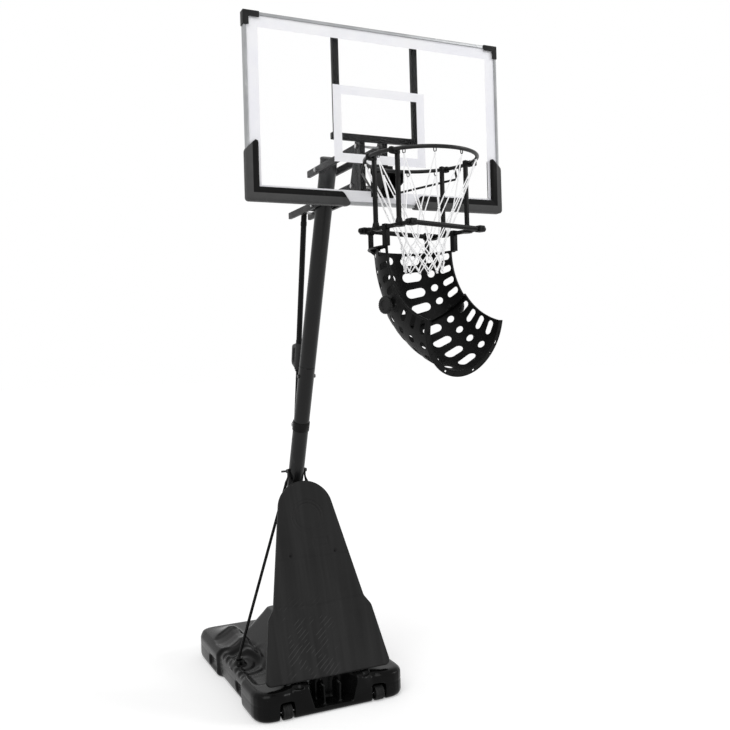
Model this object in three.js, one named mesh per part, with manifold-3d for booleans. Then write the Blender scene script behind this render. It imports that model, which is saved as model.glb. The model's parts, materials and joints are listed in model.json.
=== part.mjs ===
// Portable basketball stand with a ball return chute under its rim.
// Millimetres, +Z up. The origin is the centre of the base's underside on the floor.
// The hoop side is -Y, and +X is on the right of someone who looks at the hoop from there.
import * as THREE from 'three';
import { mergeVertices } from 'three/addons/utils/BufferGeometryUtils.js';
import Module from 'manifold-3d';

const wasm = await Module();
wasm.setup();

const DEG = Math.PI / 180;

// Clearances
const seatGap = 0.3;
const cutOverrun = 6;
const wheelFloorGap = 2.5;
const mergeDistance = 1e-3;

// Base tank
const baseWidth = 866;
const baseLength = 1250;
const baseHeight = 165;
const baseCornerRadius = 78;
const baseEdgeRadius = 30;
const humpHeight = 340;
const humpFootWidth = 580;
const humpFootLength = 760;
const humpTopWidth = 156;
const humpTopLength = 170;
const humpCornerRadius = 70;
const socketFloorHeight = 62;
const deckRecessWidth = 190;
const deckRecessLength = 280;
const deckRecessDepth = 16;
const deckRecessSetIn = 118;
const footBossRadius = 44;
const footBossHeight = 16;
const fillerNeckRadius = 34;
const fillerNeckHeight = 9;
const fillerCapRadius = 40;
const fillerCapHeight = 16;
const fillerSetIn = 128;
const frontPocketWidth = 232;
const frontPocketDepth = 120;
const frontPocketRibWidth = 16;
const frontPocketFloor = 34;
const scallopRadius = 46;
const scallopDepth = 40;
const sideNotchLength = 150;
const sideNotchHeight = 62;
const sideNotchDepth = 16;

// Transport wheels
const wheelRadius = 40;
const wheelWidth = 50;
const wheelSpread = 265;
const wheelSetIn = 29;
const wheelTreadRound = 6;
const wheelHubRadius = 16;
const wheelHubRecess = 6;
const axleRadius = 5;
const axleSocketDepth = 18;
const wheelPocketWidth = 78;
const wheelPocketGap = 12;

// Pole
const poleRadius = 45;
const poleWall = 2.5;
const poleLean = 20.22 * DEG;
const poleFootSetback = 323;
const poleJointHeight = 1840;
const poleSleeveLength = 130;
const poleTopHeight = 2912;
const poleCapRim = 2;
const poleCapHeight = 14;
const poleCapPlug = 26;
const boltRadius = 6;
const boltHeadRadius = 11;
const boltHeadHeight = 8;
const jointBoltHeight = 1785;

// Braces and front struts
const braceBoltHeight = 1230;
const braceBoltTail = 30;
const rodRadius = 9;
const lugThickness = 4.5;
const lugHalfWidth = 19;
const lugLength = 60;
const rodFootRadius = 24;
const rodFootThickness = 5;
const sideBraceSpread = 368;
const sideBraceFootSetback = -93;
const strutFootSpread = 244;
const strutFootSetback = 62;

// Front cover
const coverLean = 19.43 * DEG;
const coverSetIn = 44;
const coverDepth = 26;
const coverWall = 3.2;
const coverFootHalf = 365;
const coverKneeHalf = 305;
const coverKneeRise = 336;
const coverWaistHalf = 268;
const coverWaistRise = 390;
const coverShoulderHalf = 152;
const coverShoulderRise = 990;
const coverTopHalf = 66;
const coverRise = 1069;
const coverCornerRadius = 40;
const coverRibHeight = 12;
const screwBossRadius = 10;
const screwRadius = 2.2;
const screwHeadRadius = 6;
const screwHeadHeight = 2.6;
const screwDownStrutShare = 0.434;
const coverRibRiseShares = [0.16, 0.346, 0.6];

// Lift linkage
const lowerPivotHeight = 2690;
const upperPivotHeight = 2862;
const armWidth = 20;
const armHeight = 36;
const armWall = 2.5;
const armPoleGap = 3;
const armFrontEnd = 20;
const lowerArmRearReach = 368;
const upperArmRearReach = 128;
const spacerRadius = 9;
const spacerSetback = 128;
const strutPinReach = 294;
const strutPinRise = 10;
const anchorHeight = 1500;
const anchorSetback = 88;
const clampBandHeight = 52;
const clampBandWall = 4;
const clampEarThickness = 5;
const clampEarRadius = 20;
const strutTubeRadius = 16;
const strutTubeWall = 2;
const strutRodRadius = 11;
const strutEyeRadius = 17;
const strutEyeWidth = 24;
const strutTubeEndRise = 318;
const strutRodLength = 880;
const headEyeWidth = 24;

// Grip on the lift strut
const gripRise = 330;
const gripLength = 150;
const gripReach = 64;
const gripBarRadius = 12;
const gripSleeveWall = 5;
const triggerLength = 86;
const triggerThickness = 6;
const triggerWidth = 14;
const triggerTravelGap = 7;
const triggerPinRadius = 2.5;
const triggerPinShare = 0.9;

// Board
const boardWidth = 1270;
const boardHeight = 800;
const boardReach = 738;
const boardDropBelowPivot = 120;
const panelThickness = 5;
const panelSetBack = 5;
const frameFace = 13;
const frameDepth = 30;
const frameWall = 2.2;
const frameGrip = 8;
const capLegLength = 74;
const capLegHeight = 62;
const capWidth = 26;
const capWall = 3;
const padLegWidth = 58;
const padLegHeight = 276;
const padLegSlant = 58;
const padFootHeight = 62;
const padFootGapHalf = 152;
const padFootSlant = 44;
const padFront = 13;
const padBack = 6;
const padWall = 7;
const padBevel = 9;

// Rear frame of the board
const uprightSpread = 200;
const uprightWidth = 30;
const uprightDepth = 24;
const tubeWall = 2;
const crossBarRise = 318;
const crossBarHeight = 30;
const crossBarDepth = 24;
const crossBarOverhang = 2;
const bracketWall = 3;
const bracketLip = 22;
const pivotSetback = 112;
const bracketDrop = 96;
const bracketRise = 26;

// Rim and its bracket
const rimReach = 361.5;
const rimRise = 130;
const rimInnerDiameter = 450;
const rimTubeRadius = 8;
const rimPlateWidth = 112;
const rimPlateHeight = 146;
const rimPlateThickness = 5;
const rimPlateDrop = 92;
const rimNeckHeight = 46;
const rimNeckWall = 5;
const rimNeckNarrowing = 14;
const rimBraceRadius = 5;
const rimBraceAngle = 22 * DEG;
const rimBraceKneeDrop = 48;
const rimBraceKneeOut = 15;
const rimBraceFootRise = 15;
const hookCount = 12;
const hookStart = 15 * DEG;
const hookWireRadius = 2;
const hookDrop = 13;
const hookWidth = 10;

// Net
const netCordRadius = 2;
const netRowDrops = [262, 335, 405, 468];
const netRowRadii = [128, 104, 89, 81];
const netKnotRadius = 3.1;

// Hanger of the return system, all turned about the rim's axis
const returnTurn = 15 * DEG;
const hangerHalfWidth = 195;
const hangerBarSetback = 70;
const hangerTubeSpread = 142;
const hangerDrop = 292;
const barSize = 16;
const barHeadSize = 26;
const barHeadRise = 12;
const barFootSize = 34;
const barFootHeight = 27;
const hangerTubeRadius = 10;
const hangerTubeWall = 2;
const hangerTubeOverhang = 28;
const clampKnobRadius = 12;
const clampKnobLength = 16;
const clampScrewRadius = 3;
const clampScrewDepth = 3;

// Chute of the return system
const chuteDrop = 365;
const chuteAxisSetback = 31;
const chuteBendRadius = 334;
const chuteRadius = 180;
const chuteWall = 4;
const chuteLip = 14;
const chuteBead = 6;
const chuteTopFlange = 27;
const chuteFlangeThickness = 5;
const chuteExitFlange = 20;
const nestGap = 9;
const hingeBend = 37.5 * DEG;
const hingeOffset = 62;
const upperOverlap = 10;
const lowerOverlap = 10;
const upperRowStart = 3.9 * DEG;
const upperRowPitch = 8.7 * DEG;
const lowerRowStart = 43 * DEG;
const lowerRowPitch = 9.1 * DEG;
const chuteEndBend = 77.5 * DEG;
const rowsPerSection = 4;
const slotOverrun = 14;
const slotHeight = 42;
const wideSlotLength = 86;
const wideSlotAngle = 31.5 * DEG;
const roundHoleDiameter = 32;
const roundHoleAngle = 59 * DEG;
const narrowSlotLength = 60;
const narrowSlotHeight = 28;
const narrowSlotAngle = 82 * DEG;
const spineSlotLength = 32;
const legWidth = 22;
const legCheek = 4;
const legEyeRadius = 17;
const railPostSetback = 10;
const knobRadius = 37;
const knobThickness = 20;
const knobRound = 5;
const knobBossRadius = 8;
const knobBoltRadius = 5;
const knobHeadThickness = 4;

// Facets round a full circle
const fineRound = 20;
const plainRound = 12;
const smallRound = 8;
const ringSteps = 48;
const troughSteps = 12;

// Places worked out from the sizes above
const baseFront = -baseLength / 2;
const boardFront = baseFront - boardReach;
const boardBottom = lowerPivotHeight - boardDropBelowPivot;
const boardTop = boardBottom + boardHeight;
const rimHeight = boardBottom + rimRise;
const rimCentreY = boardFront - rimReach;
const rimRadius = rimInnerDiameter / 2 + rimTubeRadius;
const poleAxisY = (height) => poleFootSetback - height * Math.tan(poleLean);
const lowerPivot = new THREE.Vector3(0, poleAxisY(lowerPivotHeight), lowerPivotHeight);
const upperPivot = new THREE.Vector3(0, poleAxisY(upperPivotHeight), upperPivotHeight);
const carrierUpper = new THREE.Vector3(0, boardFront + pivotSetback, upperPivotHeight);
const carrierLower = carrierUpper.clone().add(lowerPivot).sub(upperPivot);
const armInner = poleRadius + armPoleGap;
const armOuter = armInner + armWidth;
const strutPin = new THREE.Vector3(0, lowerPivot.y + strutPinReach, lowerPivotHeight + strutPinRise);
const strutAnchor = new THREE.Vector3(0, poleAxisY(anchorHeight) + anchorSetback, anchorHeight);
const strutDirection = strutPin.clone().sub(strutAnchor).normalize();
const strutTilt = Math.atan2(-strutDirection.y, strutDirection.z);
const strutSpan = strutPin.distanceTo(strutAnchor);

const materials = {
  tank: new THREE.MeshStandardMaterial({ color: 0x17181a, roughness: 0.42, metalness: 0 }),
  cover: new THREE.MeshStandardMaterial({ color: 0x232426, roughness: 0.66, metalness: 0 }),
  steel: new THREE.MeshStandardMaterial({ color: 0x2b2c2e, roughness: 0.45, metalness: 0.5 }),
  black: new THREE.MeshStandardMaterial({ color: 0x141416, roughness: 0.5, metalness: 0.4 }),
  bolt: new THREE.MeshStandardMaterial({ color: 0x8b8d90, roughness: 0.35, metalness: 0.9 }),
  aluminium: new THREE.MeshStandardMaterial({ color: 0x55585c, roughness: 0.4, metalness: 0.8 }),
  clear: new THREE.MeshStandardMaterial({
    color: 0xe9ecf2, roughness: 0.08, metalness: 0, transparent: true, opacity: 0.3,
  }),
  pad: new THREE.MeshStandardMaterial({ color: 0x2c2d30, roughness: 0.6, metalness: 0 }),
  chute: new THREE.MeshStandardMaterial({ color: 0x101113, roughness: 0.48, metalness: 0 }),
  wheel: new THREE.MeshStandardMaterial({ color: 0x1b1b1c, roughness: 0.7, metalness: 0 }),
  net: new THREE.MeshStandardMaterial({ color: 0xf2f2f0, roughness: 0.85, metalness: 0 }),
};

const model = new THREE.Group();

function addPart(name, solid, material) {
  const mesh = new THREE.Mesh(toGeometry(solid), material);
  mesh.name = name;
  model.add(mesh);
}

// Turns a closed three.js geometry into a solid that can be cut and joined.
function solidOf(geometry) {
  const bare = geometry.clone();
  for (const attribute of Object.keys(bare.attributes)) {
    if (attribute !== 'position') bare.deleteAttribute(attribute);
  }
  const merged = mergeVertices(bare, mergeDistance);
  const corners = merged.index.array;
  const faces = [];
  for (let i = 0; i < corners.length; i += 3) {
    const [a, b, c] = corners.slice(i, i + 3);
    if (a !== b && b !== c && c !== a) faces.push(a, b, c);
  }
  const mesh = new wasm.Mesh({
    numProp: 3,
    vertProperties: new Float32Array(merged.attributes.position.array),
    triVerts: new Uint32Array(faces),
  });
  return new wasm.Manifold(mesh);
}

function toGeometry(solid) {
  const mesh = solid.getMesh();
  const geometry = new THREE.BufferGeometry();
  geometry.setAttribute('position', new THREE.BufferAttribute(new Float32Array(mesh.vertProperties), 3));
  geometry.setIndex(new THREE.BufferAttribute(new Uint32Array(mesh.triVerts), 1));
  geometry.computeVertexNormals();
  return geometry;
}

function join(solids) {
  return solids.reduce((sum, solid) => sum.add(solid));
}

function cut(solid, tools) {
  return tools.reduce((rest, tool) => rest.subtract(tool), solid);
}

// A box between two corners.
function block(x0, x1, y0, y1, z0, z1) {
  const geometry = new THREE.BoxGeometry(x1 - x0, y1 - y0, z1 - z0);
  geometry.translate((x0 + x1) / 2, (y0 + y1) / 2, (z0 + z1) / 2);
  return solidOf(geometry);
}

// A round bar between two points.
function bar(from, to, radius, segments = plainRound, endRadius = radius) {
  const along = to.clone().sub(from);
  const geometry = new THREE.CylinderGeometry(endRadius, radius, along.length(), segments);
  const turn = new THREE.Quaternion().setFromUnitVectors(
    new THREE.Vector3(0, 1, 0), along.clone().normalize(),
  );
  geometry.applyQuaternion(turn);
  geometry.translate((from.x + to.x) / 2, (from.y + to.y) / 2, (from.z + to.z) / 2);
  return solidOf(geometry);
}

const vec = (x, y, z) => new THREE.Vector3(x, y, z);

// The radius of a flat-sided hole that clears a round bar however the bar is turned.
const bore = (radius, sides = smallRound) => (radius + seatGap) / Math.cos(Math.PI / sides);

// A bar along X through a point.
function crossBarAt(point, x0, x1, radius, segments = plainRound) {
  return bar(vec(x0, point.y, point.z), vec(x1, point.y, point.z), radius, segments);
}

// A closed skin over rings of points. Every ring has the same number of points, and the ends are capped.
function skin(rings, capFaces) {
  const count = rings[0].length;
  const positions = rings.flat().flatMap((point) => [point.x, point.y, point.z]);
  const index = [];
  for (let row = 0; row + 1 < rings.length; row += 1) {
    for (let i = 0; i < count; i += 1) {
      const next = (i + 1) % count;
      const a = row * count + i;
      const b = row * count + next;
      index.push(a, b, b + count);
      index.push(a, b + count, a + count);
    }
  }
  const last = (rings.length - 1) * count;
  for (const [a, b, c] of capFaces) {
    index.push(a, c, b);
    index.push(last + a, last + b, last + c);
  }
  const geometry = new THREE.BufferGeometry();
  geometry.setAttribute('position', new THREE.Float32BufferAttribute(positions, 3));
  geometry.setIndex(index);
  const solid = solidOf(geometry);
  return solid;
}

// The same flat outline, counter-clockwise, set in a list of frames that follow one another.
function sweep(outline, frames) {
  const faces = THREE.ShapeUtils.triangulateShape(outline, []);
  const rings = frames.map(
    (frame) => outline.map((point) => vec(point.x, point.y, 0).applyMatrix4(frame)),
  );
  return skin(rings, faces);
}

// An outline with straight sides whose corners are rounded.
function roundedOutline(corners, radius) {
  const shape = new THREE.Shape();
  const count = corners.length;
  corners.forEach((corner, i) => {
    const before = corners[(i + count - 1) % count];
    const after = corners[(i + 1) % count];
    const limit = Math.min(corner.distanceTo(before), corner.distanceTo(after)) / 2;
    const trim = Math.min(radius, limit);
    const start = before.clone().sub(corner).setLength(trim).add(corner);
    const end = after.clone().sub(corner).setLength(trim).add(corner);
    if (i === 0) shape.moveTo(start.x, start.y);
    else shape.lineTo(start.x, start.y);
    shape.quadraticCurveTo(corner.x, corner.y, end.x, end.y);
  });
  shape.closePath();
  return shape;
}

// Moves each side of a counter-clockwise outline inwards.
function insetCorners(corners, distance) {
  const count = corners.length;
  return corners.map((corner, i) => {
    const before = corners[(i + count - 1) % count];
    const after = corners[(i + 1) % count];
    const along = corner.clone().sub(before).normalize();
    const onwards = after.clone().sub(corner).normalize();
    const inward = vec2(-along.y, along.x);
    const inwardNext = vec2(-onwards.y, onwards.x);
    const middle = inward.clone().add(inwardNext);
    return corner.clone().add(middle.multiplyScalar(distance / (middle.lengthSq() / 2)));
  });
}

const vec2 = (x, y) => new THREE.Vector2(x, y);

function rectangle(halfWidth, halfLength) {
  return [
    vec2(-halfWidth, -halfLength), vec2(halfWidth, -halfLength),
    vec2(halfWidth, halfLength), vec2(-halfWidth, halfLength),
  ];
}

function extruded(shape, depth, curveSegments = 4) {
  return solidOf(new THREE.ExtrudeGeometry(shape, { depth, bevelEnabled: false, curveSegments }));
}

// A ring or disc turned about the Z axis from a closed profile.
function turned(profile, segments = fineRound) {
  return solidOf(new THREE.LatheGeometry(profile, segments).rotateX(Math.PI / 2));
}

// A tube along +Z with open ends.
function tube(outer, inner, length, segments = fineRound) {
  return turned(
    [vec2(inner, 0), vec2(outer, 0), vec2(outer, length), vec2(inner, length), vec2(inner, 0)], segments,
  );
}

function moved(solid, matrix) {
  return solid.transform(matrix.elements);
}

const shift = (x, y, z) => new THREE.Matrix4().makeTranslation(x, y, z);
const turnX = (angle) => new THREE.Matrix4().makeRotationX(angle);
const turnY = (angle) => new THREE.Matrix4().makeRotationY(angle);
const turnZ = (angle) => new THREE.Matrix4().makeRotationZ(angle);

function mirrored(solid) {
  return solid.mirror([1, 0, 0]);
}

// The pole's own frame: its axis is local Z, and the height is the real height above the floor.
function poleFrame(height) {
  return shift(0, poleAxisY(height), height).multiply(turnX(poleLean));
}

const alongPole = (rise) => rise / Math.cos(poleLean);

// Base tank

function roundedSlab(width, length, height, corner, edge) {
  const inner = roundedOutline(rectangle(width / 2 - edge, length / 2 - edge), corner);
  const geometry = new THREE.ExtrudeGeometry(inner, {
    depth: height - 2 * edge,
    bevelThickness: edge,
    bevelSize: edge,
    bevelSegments: 3,
    curveSegments: 5,
  });
  geometry.translate(0, 0, edge);
  return solidOf(geometry);
}

function hump() {
  const sections = [0, 0.45, 0.8, 1].map((share) => {
    const ease = share ** 0.8;
    const width = THREE.MathUtils.lerp(humpFootWidth, humpTopWidth, ease);
    const length = THREE.MathUtils.lerp(humpFootLength, humpTopLength, ease);
    const height = THREE.MathUtils.lerp(baseHeight - baseEdgeRadius, humpHeight, share);
    const centreY = poleAxisY(humpHeight) * ease;
    const corner = humpCornerRadius * (1 - share / 2);
    const outline = roundedOutline(rectangle(width / 2, length / 2), corner).getPoints(4);
    return outline.slice(0, -1).map((point) => vec(point.x, point.y + centreY, height));
  });
  const flat = sections[0].map((point) => vec2(point.x, point.y));
  return skin(sections, THREE.ShapeUtils.triangulateShape(flat, []));
}

function wheelCentre(side) {
  return vec(side * wheelSpread, baseFront + wheelSetIn, wheelRadius + wheelFloorGap);
}

function fillerPlace() {
  return vec(baseWidth / 2 - fillerSetIn, baseLength / 2 - fillerSetIn, baseHeight);
}

function baseTank() {
  const slab = roundedSlab(baseWidth, baseLength, baseHeight, baseCornerRadius, baseEdgeRadius);
  const bosses = [-1, 1].map((side) => bar(
    vec(side * sideBraceSpread, sideBraceFootSetback, baseHeight - baseEdgeRadius),
    vec(side * sideBraceSpread, sideBraceFootSetback, baseHeight + footBossHeight),
    footBossRadius + baseEdgeRadius, plainRound, rodFootRadius + baseEdgeRadius / 4,
  ));
  const filler = fillerPlace();
  const neck = bar(
    vec(filler.x, filler.y, baseHeight - baseEdgeRadius),
    vec(filler.x, filler.y, baseHeight + fillerNeckHeight), fillerNeckRadius, fineRound,
  );
  const body = join([slab, hump(), ...bosses, neck]);
  const tools = [poleSocket(), frontPocket()];
  for (const side of [-1, 1]) {
    const centre = wheelCentre(side);
    const half = wheelPocketWidth / 2;
    tools.push(block(
      centre.x - half, centre.x + half, baseFront - cutOverrun, centre.y + wheelRadius + wheelPocketGap,
      -cutOverrun, centre.z + wheelRadius + wheelPocketGap,
    ));
    const socketHalf = half + axleSocketDepth + seatGap;
    tools.push(crossBarAt(
      centre, centre.x - socketHalf, centre.x + socketHalf, bore(axleRadius), smallRound,
    ));
    tools.push(scallop(side));
    tools.push(deckRecess(side));
    tools.push(...sideNotches(side));
  }
  return cut(body, tools);
}

function poleSocket() {
  const length = alongPole(humpHeight - socketFloorHeight) + poleRadius;
  return moved(tubePlug(poleRadius + seatGap, length), poleFrame(socketFloorHeight));
}

// A solid bar along +Z from the origin.
function tubePlug(radius, length, segments = fineRound) {
  return bar(vec(0, 0, 0), vec(0, 0, length), radius, segments);
}

// The pocket in the middle of the front edge, with two upright ribs left in it.
function frontPocket() {
  const halfWidth = frontPocketWidth / 2;
  const outline = [
    vec2(-halfWidth, 0), vec2(halfWidth, 0),
    vec2(halfWidth / 1.35, frontPocketDepth), vec2(-halfWidth / 1.35, frontPocketDepth),
  ];
  const pocket = extruded(roundedOutline(outline, frontPocketRibWidth), baseHeight);
  const placed = moved(pocket, shift(0, baseFront - cutOverrun, frontPocketFloor));
  const ribs = [-1, 1].map((side) => {
    const x = side * halfWidth / 2.6;
    const half = frontPocketRibWidth / 2;
    return block(
      x - half, x + half, baseFront + baseEdgeRadius, baseFront + frontPocketDepth + cutOverrun,
      0, baseHeight - baseEdgeRadius,
    );
  });
  return cut(placed, ribs);
}

// A rounded dip in the top of the front edge, beside the pocket.
function scallop(side) {
  const x = side * (frontPocketWidth / 2 + wheelSpread) / 2;
  return bar(
    vec(x, baseFront - cutOverrun, baseHeight + scallopRadius - scallopDepth),
    vec(x, baseFront + scallopRadius, baseHeight + scallopRadius),
    scallopRadius, plainRound, scallopRadius / 2,
  );
}

// The shallow oval recess in the deck behind each brace foot.
function deckRecess(side) {
  const oval = new THREE.SphereGeometry(1, 20, 6);
  oval.scale(deckRecessWidth / 2, deckRecessLength / 2, deckRecessDepth);
  const x = side * (baseWidth / 2 - deckRecessSetIn);
  oval.translate(x, baseLength / 4 - footBossRadius, baseHeight);
  return solidOf(oval);
}

// Shallow notches low in each long side.
function sideNotches(side) {
  const centres = [-baseLength / 5, baseLength / 5];
  return centres.map((centre) => {
    const outline = roundedOutline(rectangle(sideNotchLength / 2, sideNotchHeight / 2), sideNotchHeight / 3);
    const notch = extruded(outline, sideNotchDepth + cutOverrun);
    const stood = turnZ(Math.PI / 2).multiply(turnX(Math.PI / 2));
    const x = side > 0 ? baseWidth / 2 - sideNotchDepth : -baseWidth / 2 - cutOverrun;
    return moved(notch, shift(x, centre, baseEdgeRadius + sideNotchHeight / 2).multiply(stood));
  });
}

function wheel(side) {
  const half = wheelWidth / 2;
  const hole = bore(axleRadius);
  const profile = [
    vec2(hole, -half), vec2(wheelHubRadius, -half), vec2(wheelHubRadius, -half + wheelHubRecess),
    vec2(wheelRadius - 2 * wheelTreadRound, -half + wheelHubRecess),
    vec2(wheelRadius - 2 * wheelTreadRound, -half), vec2(wheelRadius - wheelTreadRound, -half),
    vec2(wheelRadius, -half + wheelTreadRound), vec2(wheelRadius, half - wheelTreadRound),
    vec2(wheelRadius - wheelTreadRound, half), vec2(wheelRadius - 2 * wheelTreadRound, half),
    vec2(wheelRadius - 2 * wheelTreadRound, half - wheelHubRecess),
    vec2(wheelHubRadius, half - wheelHubRecess), vec2(wheelHubRadius, half), vec2(hole, half),
    vec2(hole, -half),
  ];
  const centre = wheelCentre(side);
  const placed = shift(centre.x, centre.y, centre.z).multiply(turnY(Math.PI / 2));
  return moved(turned(profile, 2 * smallRound), placed);
}

function wheelAxle(side) {
  const centre = wheelCentre(side);
  const half = wheelPocketWidth / 2 + axleSocketDepth;
  return crossBarAt(centre, centre.x - half, centre.x + half, axleRadius, smallRound);
}

function fillerCap() {
  const neck = fillerNeckRadius + seatGap;
  const ridgeCount = 8;
  const rise = fillerNeckHeight + seatGap;
  const profile = [
    vec2(neck, seatGap), vec2(fillerCapRadius, seatGap), vec2(fillerCapRadius, fillerCapHeight - seatGap),
    vec2(fillerCapRadius - rise / 4, fillerCapHeight + seatGap),
    vec2(0, fillerCapHeight + seatGap), vec2(0, rise), vec2(neck, rise), vec2(neck, seatGap),
  ];
  const place = fillerPlace();
  const ridges = [];
  for (let i = 0; i < ridgeCount; i += 1) {
    const angle = (i / ridgeCount) * 2 * Math.PI;
    const at = vec(fillerCapRadius * Math.cos(angle), fillerCapRadius * Math.sin(angle), seatGap);
    ridges.push(bar(at, at.clone().setZ(fillerCapHeight - seatGap), rise / 3, smallRound));
  }
  return moved(join([turned(profile), ...ridges]), shift(place.x, place.y, place.z));
}

// Pole

function poleLower() {
  const length = alongPole(poleJointHeight - socketFloorHeight) - seatGap;
  const body = moved(tube(poleRadius, poleRadius - poleWall, length),
    poleFrame(socketFloorHeight).multiply(shift(0, 0, seatGap)));
  const holes = [boltHole(braceBoltHeight), boltHole(jointBoltHeight)];
  return cut(body, holes);
}

function boltHole(height) {
  const reach = poleRadius + cutOverrun;
  return crossBarAt(vec(0, poleAxisY(height), height), -reach, reach, bore(boltRadius), smallRound);
}

// The upper pole's foot is drawn in to slide into the lower pole.
function poleUpper() {
  const length = alongPole(poleTopHeight - poleJointHeight);
  const sleeve = poleRadius - poleWall - seatGap;
  const taper = 2 * poleWall;
  const profile = [
    vec2(sleeve - poleWall, -poleSleeveLength), vec2(sleeve, -poleSleeveLength), vec2(sleeve, seatGap),
    vec2(poleRadius, seatGap), vec2(poleRadius, length), vec2(poleRadius - poleWall, length),
    vec2(poleRadius - poleWall, taper), vec2(sleeve - poleWall, -taper),
    vec2(sleeve - poleWall, -poleSleeveLength),
  ];
  const body = moved(turned(profile), poleFrame(poleJointHeight));
  return cut(body, [boltHole(jointBoltHeight), boltHole(lowerPivotHeight), boltHole(upperPivotHeight)]);
}

function poleCap() {
  const plug = poleRadius - poleWall - seatGap;
  const profile = [
    vec2(0, -poleCapPlug), vec2(plug, -poleCapPlug), vec2(plug, seatGap), vec2((poleRadius + poleCapRim), seatGap),
    vec2((poleRadius + poleCapRim), poleCapHeight / 2), vec2((poleRadius + poleCapRim) - poleCapHeight / 2, poleCapHeight),
    vec2(0, poleCapHeight), vec2(0, -poleCapPlug),
  ];
  return moved(turned(profile), poleFrame(poleTopHeight));
}

// A bolt along X with a head on one end and a nut on the other, each seated on what it clamps.
function throughBolt(point, seatHalf, radius = boltRadius, tail = 0) {
  const seat = seatHalf + seatGap;
  const shaft = crossBarAt(point, -seat - boltHeadHeight - tail, seat, radius, smallRound);
  const head = crossBarAt(point, seat, seat + boltHeadHeight, boltHeadRadius, 6);
  const nut = crossBarAt(point, -seat - boltHeadHeight, -seat, boltHeadRadius, 6);
  return join([shaft, head, nut]);
}

// Braces and struts: round rods whose ends are pressed flat where a bolt holds them.

// A rod from a flat lug beside the pole down to a round foot.
function footedRod(lugX, lugPoint, foot, radius, offset) {
  const thin = vec(1, 0, 0);
  const down = vec(0, foot.y - lugPoint.y, foot.z - lugPoint.z).normalize();
  const wide = vec(0, down.z, -down.y);
  const lugAt = (distance) => vec(lugX, lugPoint.y, lugPoint.z).addScaledVector(down, distance);
  const end = foot.clone().setZ(foot.z + rodFootThickness);
  const start = lugAt(2 * lugLength);
  const side = Math.sign(lugX);
  start.x += side * offset;
  const half = lugThickness / 2;
  const stations = [
    [lugAt(-lugHalfWidth), half, lugHalfWidth * 0.62],
    [lugAt(-lugHalfWidth / 2), half, lugHalfWidth * 0.92],
    [lugAt(0), half, lugHalfWidth],
    [lugAt(lugLength), half, lugHalfWidth],
    [start, radius, radius],
    [end, radius, radius],
  ];
  const sides = 12;
  const rings = stations.map(([centre, halfThin, halfWide]) => {
    const ring = [];
    for (let i = 0; i < sides; i += 1) {
      const angle = (i / sides) * 2 * Math.PI;
      ring.push(centre.clone()
        .addScaledVector(thin, halfThin * Math.cos(angle))
        .addScaledVector(wide, halfWide * Math.sin(angle)));
    }
    return ring;
  });
  const fan = [];
  for (let i = 1; i + 1 < sides; i += 1) fan.push([0, i, i + 1]);
  const rod = skin(rings, fan);
  const pad = bar(foot, foot.clone().setZ(foot.z + rodFootThickness), rodFootRadius, plainRound);
  return join([rod, pad]);
}

const bracePoint = vec(0, poleAxisY(braceBoltHeight), braceBoltHeight);

function sideBrace(side, radius = rodRadius) {
  const lugX = side * (poleRadius + 2 * seatGap + 1.5 * lugThickness);
  const foot = vec(
    side * sideBraceSpread, sideBraceFootSetback, baseHeight + footBossHeight + seatGap,
  );
  const hole = crossBarAt(
    bracePoint, lugX - lugThickness, lugX + lugThickness, bore(boltRadius), smallRound,
  );
  return cut(footedRod(lugX, bracePoint, foot, radius, rodRadius + lugThickness), [hole]);
}

function frontStrutEnds(side) {
  const lugX = side * (poleRadius + seatGap + lugThickness / 2);
  const foot = vec(side * strutFootSpread, baseFront + coverSetIn + strutFootSetback, baseHeight + seatGap);
  return { lugX, foot };
}

function frontStrut(side, radius = rodRadius) {
  const { lugX, foot } = frontStrutEnds(side);
  const hole = crossBarAt(
    bracePoint, lugX - lugThickness, lugX + lugThickness, bore(boltRadius), smallRound,
  );
  return cut(footedRod(lugX, bracePoint, foot, radius, rodRadius / 2), [hole]);
}

// Front cover, in its own frame: local X across, local Y up the panel, local Z out of its face.

const coverFoot = vec(
  0, baseFront + coverSetIn, baseHeight + seatGap + coverDepth * Math.sin(coverLean),
);
const coverFrame = shift(coverFoot.x, coverFoot.y, coverFoot.z).multiply(turnX(Math.PI / 2 - coverLean));

function coverCorners() {
  const right = [
    vec2(coverFootHalf, 0), vec2(coverKneeHalf, coverKneeRise),
    vec2(coverWaistHalf, coverWaistRise),
    vec2(coverShoulderHalf, coverShoulderRise), vec2(coverTopHalf, coverRise),
  ];
  const left = right.map((point) => vec2(-point.x, point.y)).reverse();
  return [...right, ...left];
}

// Where a screw goes: the point of the strut's axis behind it, in the cover's frame.
function screwPlace(side) {
  const { lugX, foot } = frontStrutEnds(side);
  const top = vec(lugX, bracePoint.y, bracePoint.z);
  const point = top.lerp(foot, screwDownStrutShare);
  return point.applyMatrix4(coverFrame.clone().invert());
}

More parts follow.
